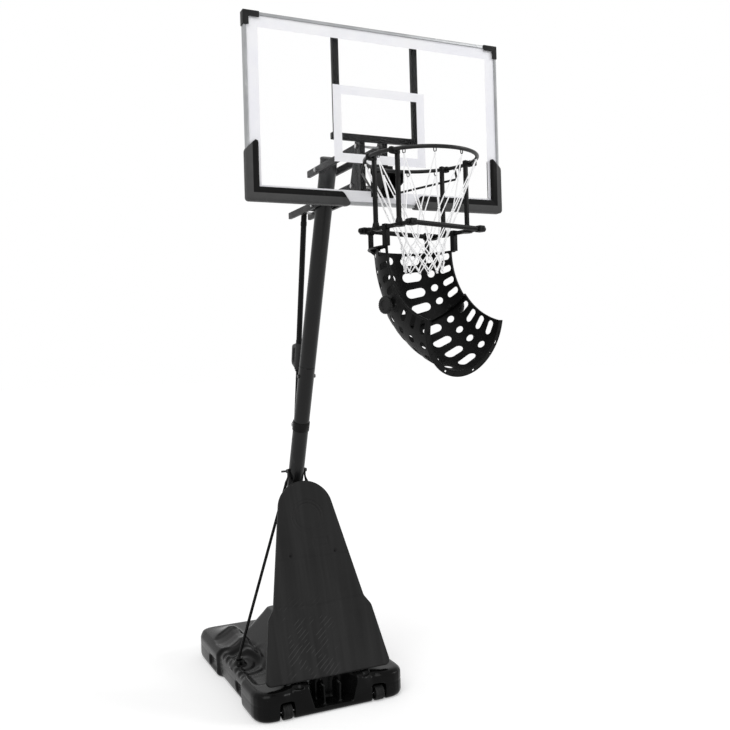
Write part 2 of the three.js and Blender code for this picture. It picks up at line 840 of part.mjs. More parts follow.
function frontCover() {
  const corners = coverCorners();
  const outline = roundedOutline(corners, coverCornerRadius);
  const inner = roundedOutline(insetCorners(corners, coverWall), coverCornerRadius);
  const shell = moved(extruded(outline, coverDepth), shift(0, 0, -coverDepth));
  const hollow = moved(extruded(inner, coverDepth), shift(0, 0, -coverDepth - coverWall));
  const ribs = coverRibRiseShares.map((share) => {
    const rise = share * coverRise;
    return block(
      -coverFootHalf, coverFootHalf, rise, rise + coverWall,
      -coverWall - coverRibHeight, -coverWall / 2,
    );
  });
  const ribbed = join(ribs).intersect(shell);
  const bosses = [-1, 1].map((side) => {
    const place = screwPlace(side);
    return bar(place, place.clone().setZ(-coverWall / 2), screwBossRadius, plainRound);
  });
  const screwHoles = [-1, 1].map((side) => {
    const place = screwPlace(side);
    return bar(place, place.clone().setZ(cutOverrun), screwRadius + seatGap, smallRound);
  });
  const whole = join([cut(shell, [hollow]), ribbed, ...bosses]);
  const placed = moved(cut(whole, screwHoles), coverFrame);
  return cut(placed, [-1, 1].map((side) => strutClearance(side)));
}

// The front strut with the seat's gap all round it.
function strutClearance(side) {
  return frontStrut(side, rodRadius + seatGap);
}

// The hole in a front strut that its cover screw enters.
function screwHoleInStrut(side) {
  const place = screwPlace(side);
  const hole = bar(
    place, place.clone().setZ(place.z + 2 * rodRadius), screwRadius + seatGap, smallRound,
  );
  return moved(hole, coverFrame);
}

function coverScrew(side) {
  const place = screwPlace(side);
  const tip = place.clone().setZ(place.z + rodRadius + 2 * seatGap);
  const shaft = bar(tip, place.clone().setZ(2 * seatGap), screwRadius, smallRound);
  const head = bar(
    place.clone().setZ(seatGap), place.clone().setZ(seatGap + screwHeadHeight),
    screwHeadRadius, smallRound, screwHeadRadius * 0.75,
  );
  return moved(join([shaft, head]), coverFrame);
}

// Lift linkage: two pairs of arms hold the board's carrier, and a strut behind the pole sets their angle.

// A hollow box bar along Y at one side, seen as an outline in X and Z.
function armBar(side, yFront, yRear, height) {
  const centreX = side * (armInner + armWidth / 2);
  const outer = roundedOutline(rectangle(armWidth / 2, armHeight / 2), armWall);
  const inner = roundedOutline(rectangle(armWidth / 2 - armWall, armHeight / 2 - armWall), armWall / 2);
  const length = yRear - yFront;
  const solid = extruded(outer, length, 1);
  const hollow = moved(extruded(inner, length + 2 * cutOverrun, 1), shift(0, 0, -cutOverrun));
  const placed = shift(centreX, yRear, height).multiply(turnX(Math.PI / 2));
  return moved(cut(solid, [hollow]), placed);
}

function pivotHole(point) {
  const reach = armOuter + cutOverrun;
  return crossBarAt(point, -reach, reach, bore(boltRadius), smallRound);
}

function lowerArm(side) {
  const body = armBar(
    side, carrierLower.y - armFrontEnd, lowerPivot.y + lowerArmRearReach, lowerPivotHeight,
  );
  return cut(body, [pivotHole(lowerPivot), pivotHole(carrierLower)]);
}

function upperArm(side) {
  const body = armBar(
    side, carrierUpper.y - armFrontEnd, upperPivot.y + upperArmRearReach, upperPivotHeight,
  );
  return cut(body, [pivotHole(upperPivot), pivotHole(carrierUpper)]);
}

// The round spacer that holds the two lower arms apart behind the pole.
function armSpacer() {
  const half = armInner - seatGap;
  return crossBarAt(vec(0, lowerPivot.y + spacerSetback, lowerPivotHeight), -half, half, spacerRadius);
}

// A pole pivot: the bolt with a washer in each gap between an arm and the pole.
function polePivot(point) {
  const bolt = throughBolt(point, armOuter);
  const washers = [-1, 1].map((side) => crossBarAt(
    point, side * (armInner - seatGap), side * (poleRadius + seatGap), boltHeadRadius, plainRound,
  ));
  return join([bolt, ...washers]);
}

const strutFrame = shift(strutAnchor.x, strutAnchor.y, strutAnchor.z).multiply(turnX(strutTilt));

// The clamp band round the pole with two ears that hold the strut's lower bolt.
function strutBracket() {
  const inner = poleRadius + seatGap;
  const band = moved(
    tube(inner + clampBandWall, inner, clampBandHeight),
    poleFrame(anchorHeight).multiply(shift(0, 0, -clampBandHeight / 2)),
  );
  const pole = moved(
    tubePlug(inner, 2 * clampBandHeight), poleFrame(anchorHeight).multiply(shift(0, 0, -clampBandHeight)),
  );
  const ears = [-1, 1].map((side) => {
    const x0 = side * (strutEyeWidth / 2 + seatGap);
    const x1 = x0 + side * clampEarThickness;
    const tip = crossBarAt(strutAnchor, x0, x1, clampEarRadius);
    const web = block(
      Math.min(x0, x1), Math.max(x0, x1), poleAxisY(anchorHeight), strutAnchor.y,
      anchorHeight - clampEarRadius, anchorHeight + clampEarRadius,
    );
    return join([tip, web]);
  });
  const reach = strutEyeWidth + 2 * clampEarThickness;
  const hole = crossBarAt(strutAnchor, -reach, reach, bore(boltRadius), smallRound);
  return cut(join([band, ...ears]), [pole, hole]);
}

function strutRod() {
  const half = strutEyeWidth / 2;
  const eye = crossBarAt(vec(0, 0, 0), -half, half, strutEyeRadius);
  const rod = tubePlug(strutRodRadius, strutRodLength, plainRound);
  const hole = crossBarAt(strutAnchor, -strutEyeWidth, strutEyeWidth, bore(boltRadius), smallRound);
  return cut(moved(join([eye, rod]), strutFrame), [hole]);
}

function strutTube() {
  const length = strutSpan - strutTubeEndRise;
  const inside = strutTubeRadius - strutTubeWall;
  const half = headEyeWidth / 2;
  const body = moved(tube(strutTubeRadius, inside, length), shift(0, 0, strutTubeEndRise));
  const head = crossBarAt(vec(0, 0, strutSpan), -half, half, strutEyeRadius);
  const hole = crossBarAt(strutPin, -headEyeWidth, headEyeWidth, bore(boltRadius), smallRound);
  return cut(moved(join([body, head]), strutFrame), [hole]);
}

function strutHeadPin() {
  const half = armInner - seatGap;
  return crossBarAt(strutPin, -half, half, boltRadius, smallRound);
}

// Grip on the strut: a sleeve with a bow handle behind it, in the strut's frame with +Y to the rear.

function gripOutline(inset) {
  const reach = strutTubeRadius + gripReach - inset;
  const half = gripLength / 2 - inset;
  return roundedOutline([
    vec2(strutTubeRadius - inset, -half), vec2(reach, -half * 0.72),
    vec2(reach, half * 0.72), vec2(strutTubeRadius - inset, half),
  ], gripBarRadius * 1.6);
}

function gripHandle() {
  const width = 2 * gripBarRadius;
  const outer = extruded(gripOutline(0), width, 5);
  const inner = moved(
    extruded(gripOutline(width * 0.8), width + 2 * cutOverrun, 5), shift(0, 0, -cutOverrun),
  );
  const bow = moved(cut(outer, [inner]), gripPlane(width));
  const sleeveRadius = strutTubeRadius + gripSleeveWall;
  const sleeve = moved(
    tubePlug(sleeveRadius, gripLength, plainRound), shift(0, 0, gripRise),
  );
  const inside = moved(
    tubePlug(strutTubeRadius + seatGap, gripLength + 2 * cutOverrun), shift(0, 0, gripRise - cutOverrun),
  );
  const pinHole = crossBarAt(triggerPivot(), -width, width, bore(triggerPinRadius), smallRound);
  const slot = triggerSlot();
  return moved(cut(join([bow, sleeve]), [inside, slot, pinHole]), strutFrame);
}

// Stands an outline drawn as (rearward, upward) in the strut's frame, centred on X.
function gripPlane(width) {
  const basis = new THREE.Matrix4().makeBasis(vec(0, 1, 0), vec(0, 0, 1), vec(1, 0, 0));
  return shift(-width / 2, 0, gripRise + gripLength / 2).multiply(basis);
}

function triggerPivot() {
  return vec(0, strutTubeRadius + gripSleeveWall + triggerThickness, gripRise + gripLength * triggerPinShare);
}

// The slot in the grip that the trigger's pivot end sits in.
function triggerSlot() {
  const pivot = triggerPivot();
  const half = triggerWidth / 2 + seatGap;
  const room = triggerThickness + triggerTravelGap / 2;
  return block(
    -half, half, pivot.y - triggerThickness, pivot.y + room, pivot.z - triggerLength / 4, pivot.z + room,
  );
}

// The squeeze trigger with its pivot pin.
function gripTrigger() {
  const pivot = triggerPivot();
  const half = triggerWidth / 2;
  const blade = roundedOutline([
    vec2(pivot.y - triggerThickness * 0.7, pivot.z - triggerLength),
    vec2(pivot.y + triggerThickness, pivot.z - triggerLength),
    vec2(pivot.y + triggerThickness * 1.7, pivot.z - triggerLength / 2),
    vec2(pivot.y + triggerThickness, pivot.z + triggerThickness),
    vec2(pivot.y - triggerThickness * 0.7, pivot.z + triggerThickness),
  ], triggerThickness / 2);
  const basis = new THREE.Matrix4().makeBasis(vec(0, 1, 0), vec(0, 0, 1), vec(1, 0, 0));
  const body = moved(extruded(blade, triggerWidth, 3), shift(-half, 0, 0).multiply(basis));
  const reach = 1.7 * half;
  const pin = crossBarAt(pivot, -reach, reach, triggerPinRadius, smallRound);
  return moved(join([body, pin]), strutFrame);
}

// Board

const panelFront = boardFront + panelSetBack;
const panelBack = panelFront + panelThickness;
const frameBack = boardFront + frameDepth;

function boardPanel() {
  const inset = frameWall + seatGap;
  return block(
    -boardWidth / 2 + inset, boardWidth / 2 - inset, panelFront, panelBack,
    boardBottom + inset, boardTop - inset,
  );
}

// The edge channel's section: a deep U that grips the panel, as (inwards, rearwards) from its outer corner.
function channelSection() {
  const grip = frameWall + frameGrip;
  const front = panelSetBack - seatGap;
  const rear = front + panelThickness + 2 * seatGap;
  return [
    vec2(0, 0), vec2(frameFace, 0), vec2(frameFace, front), vec2(frameWall, front),
    vec2(frameWall, rear), vec2(grip, rear), vec2(grip, rear + frameWall),
    vec2(frameWall, rear + frameWall), vec2(frameWall, frameDepth - frameWall),
    vec2(grip, frameDepth - frameWall), vec2(grip, frameDepth), vec2(0, frameDepth),
  ];
}

// One edge channel, mitred at both ends, for an edge whose outward direction is given by its turn.
function frameEdge(turn, halfLength, outwards) {
  const section = channelSection();
  const place = (point, end) => {
    const along = end * (halfLength - point.x - seatGap / 2);
    return vec(along, point.y, outwards - point.x);
  };
  const rings = [-1, 1].map((end) => section.map((point) => place(point, end)));
  const faces = THREE.ShapeUtils.triangulateShape(section, []);
  const edge = skin(rings, faces);
  const centre = shift(0, boardFront, (boardBottom + boardTop) / 2);
  return moved(edge, centre.multiply(turnY(turn)));
}

const frameEdges = {
  frame_top: () => frameEdge(0, boardWidth / 2, boardHeight / 2),
  frame_right: () => frameEdge(Math.PI / 2, boardHeight / 2, boardWidth / 2),
  frame_bottom: () => frameEdge(Math.PI, boardWidth / 2, boardHeight / 2),
  frame_left: () => frameEdge(-Math.PI / 2, boardHeight / 2, boardWidth / 2),
};

// The space that the framed board fills, with the seat's gap.
function boardSpace(gap) {
  return block(
    -boardWidth / 2 - gap, boardWidth / 2 + gap, boardFront - gap, frameBack + gap,
    boardBottom - gap, boardTop + gap,
  );
}

// An outline drawn as (x, z) made into a plate between two depths.
function plateXZ(shape, y0, y1) {
  const basis = new THREE.Matrix4().makeBasis(vec(1, 0, 0), vec(0, 0, 1), vec(0, -1, 0));
  return moved(extruded(shape, y1 - y0), shift(0, y1, 0).multiply(basis));
}

// The black cap on a top corner.
function cornerCap(side) {
  const x = side * (boardWidth / 2 + capWall);
  const z = boardTop + capWall;
  const corners = [
    vec2(x, z), vec2(x - side * capLegLength, z), vec2(x - side * capLegLength, z - capWidth),
    vec2(x - side * capWidth, z - capWidth), vec2(x - side * capWidth, z - capLegHeight),
    vec2(x, z - capLegHeight),
  ];
  const outline = side > 0 ? corners : [...corners].reverse();
  const plate = plateXZ(roundedOutline(outline, capWall), boardFront - capWall, frameBack + capWall);
  return cut(plate, [boardSpace(seatGap)]);
}

// The padded guard on a bottom corner: a tall leg up the side and a foot along the bottom edge.
function cornerPad(side) {
  const x = side * (boardWidth / 2 + padWall);
  const z = boardBottom - padWall;
  const corners = [
    vec2(x, z), vec2(x, z + padLegHeight - padLegSlant),
    vec2(x - side * padLegWidth, z + padLegHeight), vec2(x - side * padLegWidth, z + padFootHeight),
    vec2(side * (padFootGapHalf + padFootSlant), z + padFootHeight), vec2(side * padFootGapHalf, z),
  ];
  const outline = side > 0 ? corners : [...corners].reverse();
  const shape = roundedOutline(insetCorners(outline, padBevel), padWall);
  const depth = frameDepth + padFront + padBack - 2 * padBevel;
  const geometry = new THREE.ExtrudeGeometry(shape, {
    depth, bevelThickness: padBevel, bevelSize: padBevel, bevelSegments: 2, curveSegments: 3,
  });
  const basis = new THREE.Matrix4().makeBasis(vec(1, 0, 0), vec(0, 0, 1), vec(0, -1, 0));
  const place = shift(0, frameBack + padBack - padBevel, 0).multiply(basis);
  return cut(moved(solidOf(geometry), place), [boardSpace(seatGap)]);
}

// A hollow box section along Z or X, with open ends.
function boxTube(width, depth, length) {
  const outer = extruded(roundedOutline(rectangle(width / 2, depth / 2), tubeWall), length, 1);
  const inner = extruded(
    roundedOutline(rectangle(width / 2 - tubeWall, depth / 2 - tubeWall), tubeWall / 2),
    length + 2 * cutOverrun, 1,
  );
  return cut(outer, [moved(inner, shift(0, 0, -cutOverrun))]);
}

const uprightY = frameBack + seatGap + uprightDepth / 2;
const crossBarY = uprightY + (uprightDepth + crossBarDepth) / 2 + seatGap;
const crossBarHeightAt = boardBottom + crossBarRise;
const bracketFront = crossBarY + crossBarDepth / 2 + seatGap;

function rearUpright(side) {
  const foot = crossBarHeightAt - crossBarHeight / 2 - crossBarOverhang;
  const length = boardTop - foot;
  return moved(boxTube(uprightWidth, uprightDepth, length), shift(side * uprightSpread, uprightY, foot));
}

function crossBar() {
  const length = 2 * (uprightSpread + uprightWidth / 2 + crossBarOverhang);
  const lying = shift(-length / 2, crossBarY, crossBarHeightAt).multiply(turnY(Math.PI / 2));
  return moved(boxTube(crossBarHeight, crossBarDepth, length), lying);
}

// The channel that carries the arms at one side: a web on the cross bar and two cheeks round the arm.
function boardBracket(side) {
  const innerX = armInner - seatGap - bracketWall;
  const outerX = armOuter + seatGap + bracketWall;
  const low = carrierLower.z - bracketDrop;
  const high = carrierUpper.z + bracketRise;
  const cheekOutline = [
    vec2(bracketFront, low), vec2(bracketFront + bracketLip, low),
    vec2(carrierLower.y + bracketLip, carrierLower.z - bracketLip),
    vec2(carrierLower.y + bracketLip, carrierLower.z + bracketLip / 2),
    vec2(carrierUpper.y + bracketLip, carrierUpper.z), vec2(carrierUpper.y + bracketLip, high),
    vec2(bracketFront, high),
  ];
  const basis = new THREE.Matrix4().makeBasis(vec(0, 1, 0), vec(0, 0, 1), vec(1, 0, 0));
  const cheek = (x) => moved(
    extruded(roundedOutline(cheekOutline, bracketLip / 3), bracketWall), shift(x, 0, 0).multiply(basis),
  );
  const web = block(innerX, outerX, bracketFront, bracketFront + bracketWall, low, high);
  const right = join([web, cheek(innerX), cheek(outerX - bracketWall)]);
  const placed = side > 0 ? right : mirrored(right);
  return cut(placed, [widePivotHole(carrierUpper), widePivotHole(carrierLower)]);
}

function widePivotHole(point) {
  const reach = armOuter + bracketWall + cutOverrun;
  return crossBarAt(point, -reach, reach, bore(boltRadius), smallRound);
}

function carrierBolt(point) {
  return throughBolt(point, armOuter + seatGap + bracketWall);
}

// Rim

const rimCentre = vec(0, rimCentreY, rimHeight);

function torusSolid(radius, tubeRadius, around, about) {
  return solidOf(new THREE.TorusGeometry(radius, tubeRadius, about, around));
}

// The plate on the board's face and the box neck that carries the ring.
function rimBracket() {
  const top = rimHeight - rimPlateDrop + rimPlateHeight;
  const back = panelFront - seatGap;
  const plate = block(
    -rimPlateWidth / 2, rimPlateWidth / 2, back - rimPlateThickness, back,
    rimHeight - rimPlateDrop, top,
  );
  const neckEnd = rimCentreY + rimRadius;
  const half = rimPlateWidth / 2 - rimNeckNarrowing;
  const lower = rimHeight - rimNeckHeight;
  const outline = [
    vec2(back, rimHeight - rimPlateDrop), vec2(back, rimHeight + rimTubeRadius),
    vec2(neckEnd, rimHeight + rimTubeRadius), vec2(neckEnd, lower),
  ];
  const basis = new THREE.Matrix4().makeBasis(vec(0, 1, 0), vec(0, 0, 1), vec(1, 0, 0));
  const shape = new THREE.Shape([...outline].reverse());
  const neck = moved(extruded(shape, 2 * half), shift(-half, 0, 0).multiply(basis));
  const room = block(
    -half + rimNeckWall, half - rimNeckWall, neckEnd - rimRadius, back - rimPlateThickness,
    rimHeight - rimPlateDrop - cutOverrun, rimHeight + rimTubeRadius - rimNeckWall,
  );
  const ring = moved(
    torusSolid(rimRadius, rimTubeRadius + 2 * seatGap, ringSteps, smallRound),
    shift(rimCentre.x, rimCentre.y, rimCentre.z),
  );
  return cut(join([plate, cut(neck, [room])]), [ring, ...rimBraces(rimBraceRadius + seatGap)]);
}

// The bent rods from the ring's sides back to the foot of the rim's plate.
function rimBraces(radius) {
  const ringPoint = (side, distance, drop) => vec(
    side * distance * Math.cos(rimBraceAngle), rimCentreY + distance * Math.sin(rimBraceAngle),
    rimHeight - drop,
  );
  return [-1, 1].map((side) => {
    const start = ringPoint(side, rimRadius, 0);
    const knee = ringPoint(side, rimRadius + rimBraceKneeOut, rimBraceKneeDrop);
    const end = vec(
      side * (rimPlateWidth / 2 - rimNeckNarrowing + rimBraceRadius + seatGap),
      panelFront - rimPlateThickness - 2 * seatGap - rimBraceRadius,
      rimHeight - rimPlateDrop + rimBraceFootRise,
    );
    const elbow = new THREE.SphereGeometry(radius, smallRound, smallRound / 2);
    elbow.translate(knee.x, knee.y, knee.z);
    return join([
      bar(start, knee, radius, smallRound), bar(knee, end, radius, smallRound), solidOf(elbow),
    ]);
  });
}

// The hooks and the net are drawn with the first one to the side, and turned together from there.
const hookTurn = shift(rimCentre.x, rimCentre.y, 0).multiply(turnZ(hookStart))
  .multiply(shift(-rimCentre.x, -rimCentre.y, 0));

function hookPlace(i) {
  const angle = (i / hookCount) * 2 * Math.PI;
  return vec(
    rimCentre.x + rimRadius * Math.cos(angle), rimCentre.y + rimRadius * Math.sin(angle), rimHeight,
  );
}

// A thin string that runs through a list of points, with flat sides.
function stringThrough(points, radius, sides) {
  const rings = points.map((point, i) => {
    const before = points[Math.max(i - 1, 0)];
    const after = points[Math.min(i + 1, points.length - 1)];
    const along = after.clone().sub(before).normalize();
    const outwards = point.clone().sub(rimCentre).setZ(0).normalize();
    const across = along.clone().cross(outwards).normalize();
    const outer = across.clone().cross(along);
    const ring = [];
    for (let k = 0; k < sides; k += 1) {
      const angle = (k / sides) * 2 * Math.PI;
      ring.push(point.clone()
        .addScaledVector(outer, radius * Math.cos(angle))
        .addScaledVector(across, radius * Math.sin(angle)));
    }
    return ring;
  });
  const fan = [];
  for (let k = 1; k + 1 < sides; k += 1) fan.push([0, k, k + 1]);
  return skin(rings, fan);
}

// A net hook: a small loop of wire under the ring.
function netHook(i) {
  const place = hookPlace(i);
  const angle = (i / hookCount) * 2 * Math.PI;
  const tangent = vec(-Math.sin(angle), Math.cos(angle), 0);
  const top = place.clone().setZ(rimHeight - rimTubeRadius / 2);
  const low = rimHeight - rimTubeRadius - hookDrop;
  const [start, end] = [-1, 1].map((side) => top.clone().addScaledVector(tangent, side * hookWidth / 2));
  const [startLow, endLow] = [start, end].map((corner) => corner.clone().setZ(low));
  return stringThrough([start, startLow, endLow, end], hookWireRadius, 3);
}

function rimRing() {
  const ring = moved(
    torusSolid(rimRadius, rimTubeRadius, ringSteps, smallRound), shift(rimCentre.x, rimCentre.y, rimCentre.z),
  );
  const hooks = [];
  for (let i = 0; i < hookCount; i += 1) hooks.push(moved(netHook(i), hookTurn));
  return join([ring, ...hooks, ...rimBraces(rimBraceRadius)]);
}

// Net: two strings leave each hook, run round the net in opposite directions and cross at every row.
function net() {
  const topDrop = rimTubeRadius + hookDrop + hookWireRadius / 2 + netKnotRadius + seatGap;
  const rows = [{ radius: rimRadius, drop: topDrop }];
  netRowDrops.forEach((drop, i) => rows.push({ radius: netRowRadii[i], drop }));
  const pieces = [];
  for (let i = 0; i < hookCount; i += 1) {
    for (const direction of [-1, 1]) {
      const points = rows.map(({ radius, drop }, row) => {
        const angle = ((i + (direction * row) / 2) / hookCount) * 2 * Math.PI;
        return vec(
          rimCentre.x + radius * Math.cos(angle), rimCentre.y + radius * Math.sin(angle), rimHeight - drop,
        );
      });
      pieces.push(stringThrough(points, netCordRadius, 3));
    }
    const knot = new THREE.OctahedronGeometry(netKnotRadius);
    const place = hookPlace(i);
    knot.translate(place.x, place.y, rimHeight - topDrop);
    pieces.push(solidOf(knot));
  }
  return moved(wasm.Manifold.union(pieces), hookTurn);
}

// Return system, in a frame at the rim's centre that is turned about the rim's axis:
// local -Y is the way the ball leaves.

const returnFrame = shift(rimCentre.x, rimCentre.y, rimCentre.z).multiply(turnZ(returnTurn));

// How far out to the side the ring lies, level with the bars.
const ringAcross = Math.sqrt(rimRadius ** 2 - hangerBarSetback ** 2);

// One side of the hanger: two square bars inside the ring, whose heads reach out and clamp it, joined by
// a rail with a bored block at each end for a cross tube.
function hangerBars(side) {
  const x = side * hangerHalfWidth;
  const post = (y, size, low, high) => block(
    x - size / 2, x + size / 2, y - size / 2, y + size / 2, low, high,
  );
  const railEnd = hangerTubeSpread + barFootSize / 2;
  const pieces = [block(
    x - barSize / 2, x + barSize / 2, -railEnd, railEnd,
    -hangerDrop - barSize / 2, -hangerDrop + barSize / 2,
  )];
  for (const end of [-1, 1]) {
    pieces.push(post(end * hangerBarSetback, barSize, -hangerDrop, 0));
    const headSides = [x - side * barHeadSize / 2, side * (ringAcross + barHeadSize / 2)];
    pieces.push(block(
      Math.min(...headSides), Math.max(...headSides),
      end * hangerBarSetback - barHeadSize / 2, end * hangerBarSetback + barHeadSize / 2,
      -rimTubeRadius - barHeadRise, barHeadRise,
    ));
    const foot = roundedOutline(rectangle(barSize, barSize), barSize / 3);
    const flare = moved(extruded(foot, barSize, 3), shift(x, end * hangerBarSetback, -hangerDrop - barSize / 2));
    pieces.push(flare);
    const low = -hangerDrop - barFootHeight / 2;
    pieces.push(post(end * hangerTubeSpread, barFootSize, low, low + barFootHeight));
  }
  const ring = torusSolid(rimRadius, rimTubeRadius + 2 * seatGap, ringSteps, smallRound);
  const reach = hangerHalfWidth + barFootSize;
  const bores = [-1, 1].map((end) => crossBarAt(
    vec(0, end * hangerTubeSpread, -hangerDrop), -reach, reach, hangerTubeRadius + seatGap,
  ));
  const tools = [ring, ...bores];
  if (side > 0) tools.push(clampScrew(bore(clampScrewRadius)));
  return moved(cut(join(pieces), tools), returnFrame);
}

function crossTube(end) {
  const length = 2 * (hangerHalfWidth + hangerTubeOverhang);
  const body = tube(hangerTubeRadius, hangerTubeRadius - hangerTubeWall, length, plainRound);
  const lying = shift(-length / 2, end * hangerTubeSpread, -hangerDrop).multiply(turnY(Math.PI / 2));
  return moved(body, returnFrame.clone().multiply(lying));
}

const clampPoint = vec(ringAcross, -hangerBarSetback, 0);

// The clamp's screw, which stops short of the ring.
function clampScrew(radius) {
  const face = clampPoint.x + barHeadSize / 2;
  return crossBarAt(clampPoint, face - clampScrewDepth, face + clampKnobLength, radius, smallRound);
}

function clampKnob() {
  const seat = clampPoint.x + barHeadSize / 2 + seatGap;
  const start = seat + clampScrewDepth;
  const lobes = [];
  const lobeCount = 6;
  for (let i = 0; i < lobeCount; i += 1) {
    const angle = (i / lobeCount) * 2 * Math.PI;
    const at = vec(
      0, clampPoint.y + clampKnobRadius * Math.cos(angle), clampPoint.z + clampKnobRadius * Math.sin(angle),
    );
    lobes.push(crossBarAt(at, start, start + clampKnobLength, clampKnobRadius / 4, smallRound));
  }
  const disc = crossBarAt(clampPoint, start, start + clampKnobLength, clampKnobRadius);
  const collar = crossBarAt(clampPoint, seat, start + clampScrewDepth, clampKnobRadius / 2);
  return moved(join([disc, collar, ...lobes, clampScrew(clampScrewRadius)]), returnFrame);
}

// Chute: a trough with a U section that follows a bend. At a bend angle, the frame has local X across,
// local Y out through the spine and local Z back up the trough.
function chuteFrame(bend) {
  const sin = Math.sin(bend);
  const cos = Math.cos(bend);
  const basis = new THREE.Matrix4().makeBasis(vec(1, 0, 0), vec(0, cos, -sin), vec(0, sin, cos));
  const y = chuteAxisSetback - chuteBendRadius * (1 - cos);
  const z = -chuteDrop - chuteBendRadius * sin;
  return shift(0, y, z).multiply(basis);
}

// The U section between two radii, with its straight lips and an optional bead on their outer edges.
function troughOutline(innerRadius, outerRadius, bead = 0) {
  const arc = (radius, from, to) => {
    const points = [];
    for (let i = 0; i <= troughSteps; i += 1) {
      const angle = from + ((to - from) * i) / troughSteps;
      points.push(vec2(radius * Math.cos(angle), radius * Math.sin(angle)));
    }
    return points;
  };
  const beadPoints = bead === 0 ? [] : [
    vec2(outerRadius + bead, -chuteLip), vec2(outerRadius + bead, -chuteLip + bead),
    vec2(outerRadius, -chuteLip + 2 * bead),
  ];
  const mirroredBead = beadPoints.map((point) => vec2(-point.x, point.y)).reverse();
  const outerEnd = bead === 0 ? [vec2(outerRadius, -chuteLip)] : [];
  return [
    ...outerEnd, ...beadPoints, ...arc(outerRadius, 0, Math.PI), ...mirroredBead,
    ...outerEnd.map((point) => vec2(-point.x, point.y)),
    vec2(-innerRadius, -chuteLip), ...arc(innerRadius, Math.PI, 0), vec2(innerRadius, -chuteLip),
  ];
}

// The bends between the rows of slots, where the trough's flat facets meet.
function facetBends(fromBend, toBend, rowStart, rowPitch) {
  const bends = [fromBend];
  for (let row = 0; row < rowsPerSection; row += 1) {
    const bend = rowStart + (row + 0.5) * rowPitch;
    if (bend < toBend) bends.push(bend);
  }
  return [...bends, toBend];
}

function trough(innerRadius, bends) {
  const outline = troughOutline(innerRadius, innerRadius + chuteWall, chuteBead);
  return sweep(outline, [...bends].reverse().map((bend) => chuteFrame(bend)));
}

// A flat flange round the outside of the trough's end, on the upstream side of a bend angle.
function troughFlange(innerRadius, width, bend, below) {
  const outline = troughOutline(innerRadius + chuteWall / 2, innerRadius + chuteWall + width);
  const frame = chuteFrame(bend).multiply(shift(0, 0, below));
  return sweep(outline, [frame, frame.clone().multiply(shift(0, 0, chuteFlangeThickness))]);
}

function stadium(length, height) {
  const shape = new THREE.Shape();
  const half = Math.max(length - height, height / 50) / 2;
  const radius = height / 2;
  shape.absarc(half, 0, radius, -Math.PI / 2, Math.PI / 2);
  shape.absarc(-half, 0, radius, Math.PI / 2, 1.5 * Math.PI);
  return shape;
}

// A slot cutter square to the trough's wall at an angle round from its spine.
function slotCutter(innerRadius, bend, angle, length, height) {
  const depth = chuteWall + 2 * slotOverrun;
  const cutter = extruded(stadium(length, height), depth, 2);
  const outwards = vec(Math.sin(angle), Math.cos(angle), 0);
  const round = vec(Math.cos(angle), -Math.sin(angle), 0);
  const basis = new THREE.Matrix4().makeBasis(round, vec(0, 0, 1).negate(), outwards);
  const start = outwards.clone().multiplyScalar(innerRadius - slotOverrun);
  return moved(cutter, chuteFrame(bend).multiply(shift(start.x, start.y, start.z)).multiply(basis));
}

function slotRow(innerRadius, bend) {
  const columns = [
    [wideSlotAngle, wideSlotLength, slotHeight],
    [roundHoleAngle, roundHoleDiameter, roundHoleDiameter],
    [narrowSlotAngle, narrowSlotLength, narrowSlotHeight],
  ];
  const cutters = [slotCutter(innerRadius, bend, 0, slotHeight, spineSlotLength)];
  for (const [angle, length, height] of columns) {
    cutters.push(slotCutter(innerRadius, bend, angle, length, height));
    cutters.push(slotCutter(innerRadius, bend, -angle, length, height));
  }
  return cutters;
}

function slotRows(innerRadius, start, pitch) {
  const cutters = [];
  for (let row = 0; row < rowsPerSection; row += 1) {
    cutters.push(...slotRow(innerRadius, start + row * pitch));
  }
  return cutters;
}

const lowerRadius = chuteRadius + chuteWall + nestGap;
const hingePoint = vec(0, hingeOffset, 0).applyMatrix4(chuteFrame(hingeBend));
const overlapBend = (length) => length / (chuteBendRadius + chuteRadius);

function hingeHole() {
  const reach = lowerRadius + chuteWall + cutOverrun;
  return crossBarAt(hingePoint, -reach, reach, bore(knobBoltRadius), smallRound);
}

// A side post on the top flange, with a square loop round the hanger's rail.
function railPost(side) {
  const x = side * hangerHalfWidth;
  const room = barSize / 2 + seatGap;
  const half = room + legCheek;
  const post = block(
    x - half, x + half, railPostSetback - legWidth / 2, railPostSetback + legWidth / 2,
    -chuteDrop - chuteFlangeThickness / 2, -hangerDrop + half,
  );
  const rail = block(
    x - room, x + room, railPostSetback - legWidth, railPostSetback + legWidth,
    -hangerDrop - room, -hangerDrop + room,
  );
  return cut(post, [rail]);
}

// A rear leg on the top flange, with a round eye on the hanger's rear cross tube.
function rearLeg(side) {
  const flangeMiddle = chuteRadius + chuteWall + chuteTopFlange / 2;
  const x = side * Math.sqrt(flangeMiddle ** 2 - (hangerTubeSpread - chuteAxisSetback) ** 2);
  const half = legWidth / 2;
  const at = vec(0, hangerTubeSpread, -hangerDrop);
  const eye = crossBarAt(at, x - half, x + half, legEyeRadius);
  const post = block(
    x - half, x + half, hangerTubeSpread - half / 2, hangerTubeSpread + half / 2,
    -chuteDrop - chuteFlangeThickness / 2, -hangerDrop,
  );
  return cut(join([eye, post]), [
    crossBarAt(at, x - legWidth, x + legWidth, hangerTubeRadius + seatGap),
  ]);
}

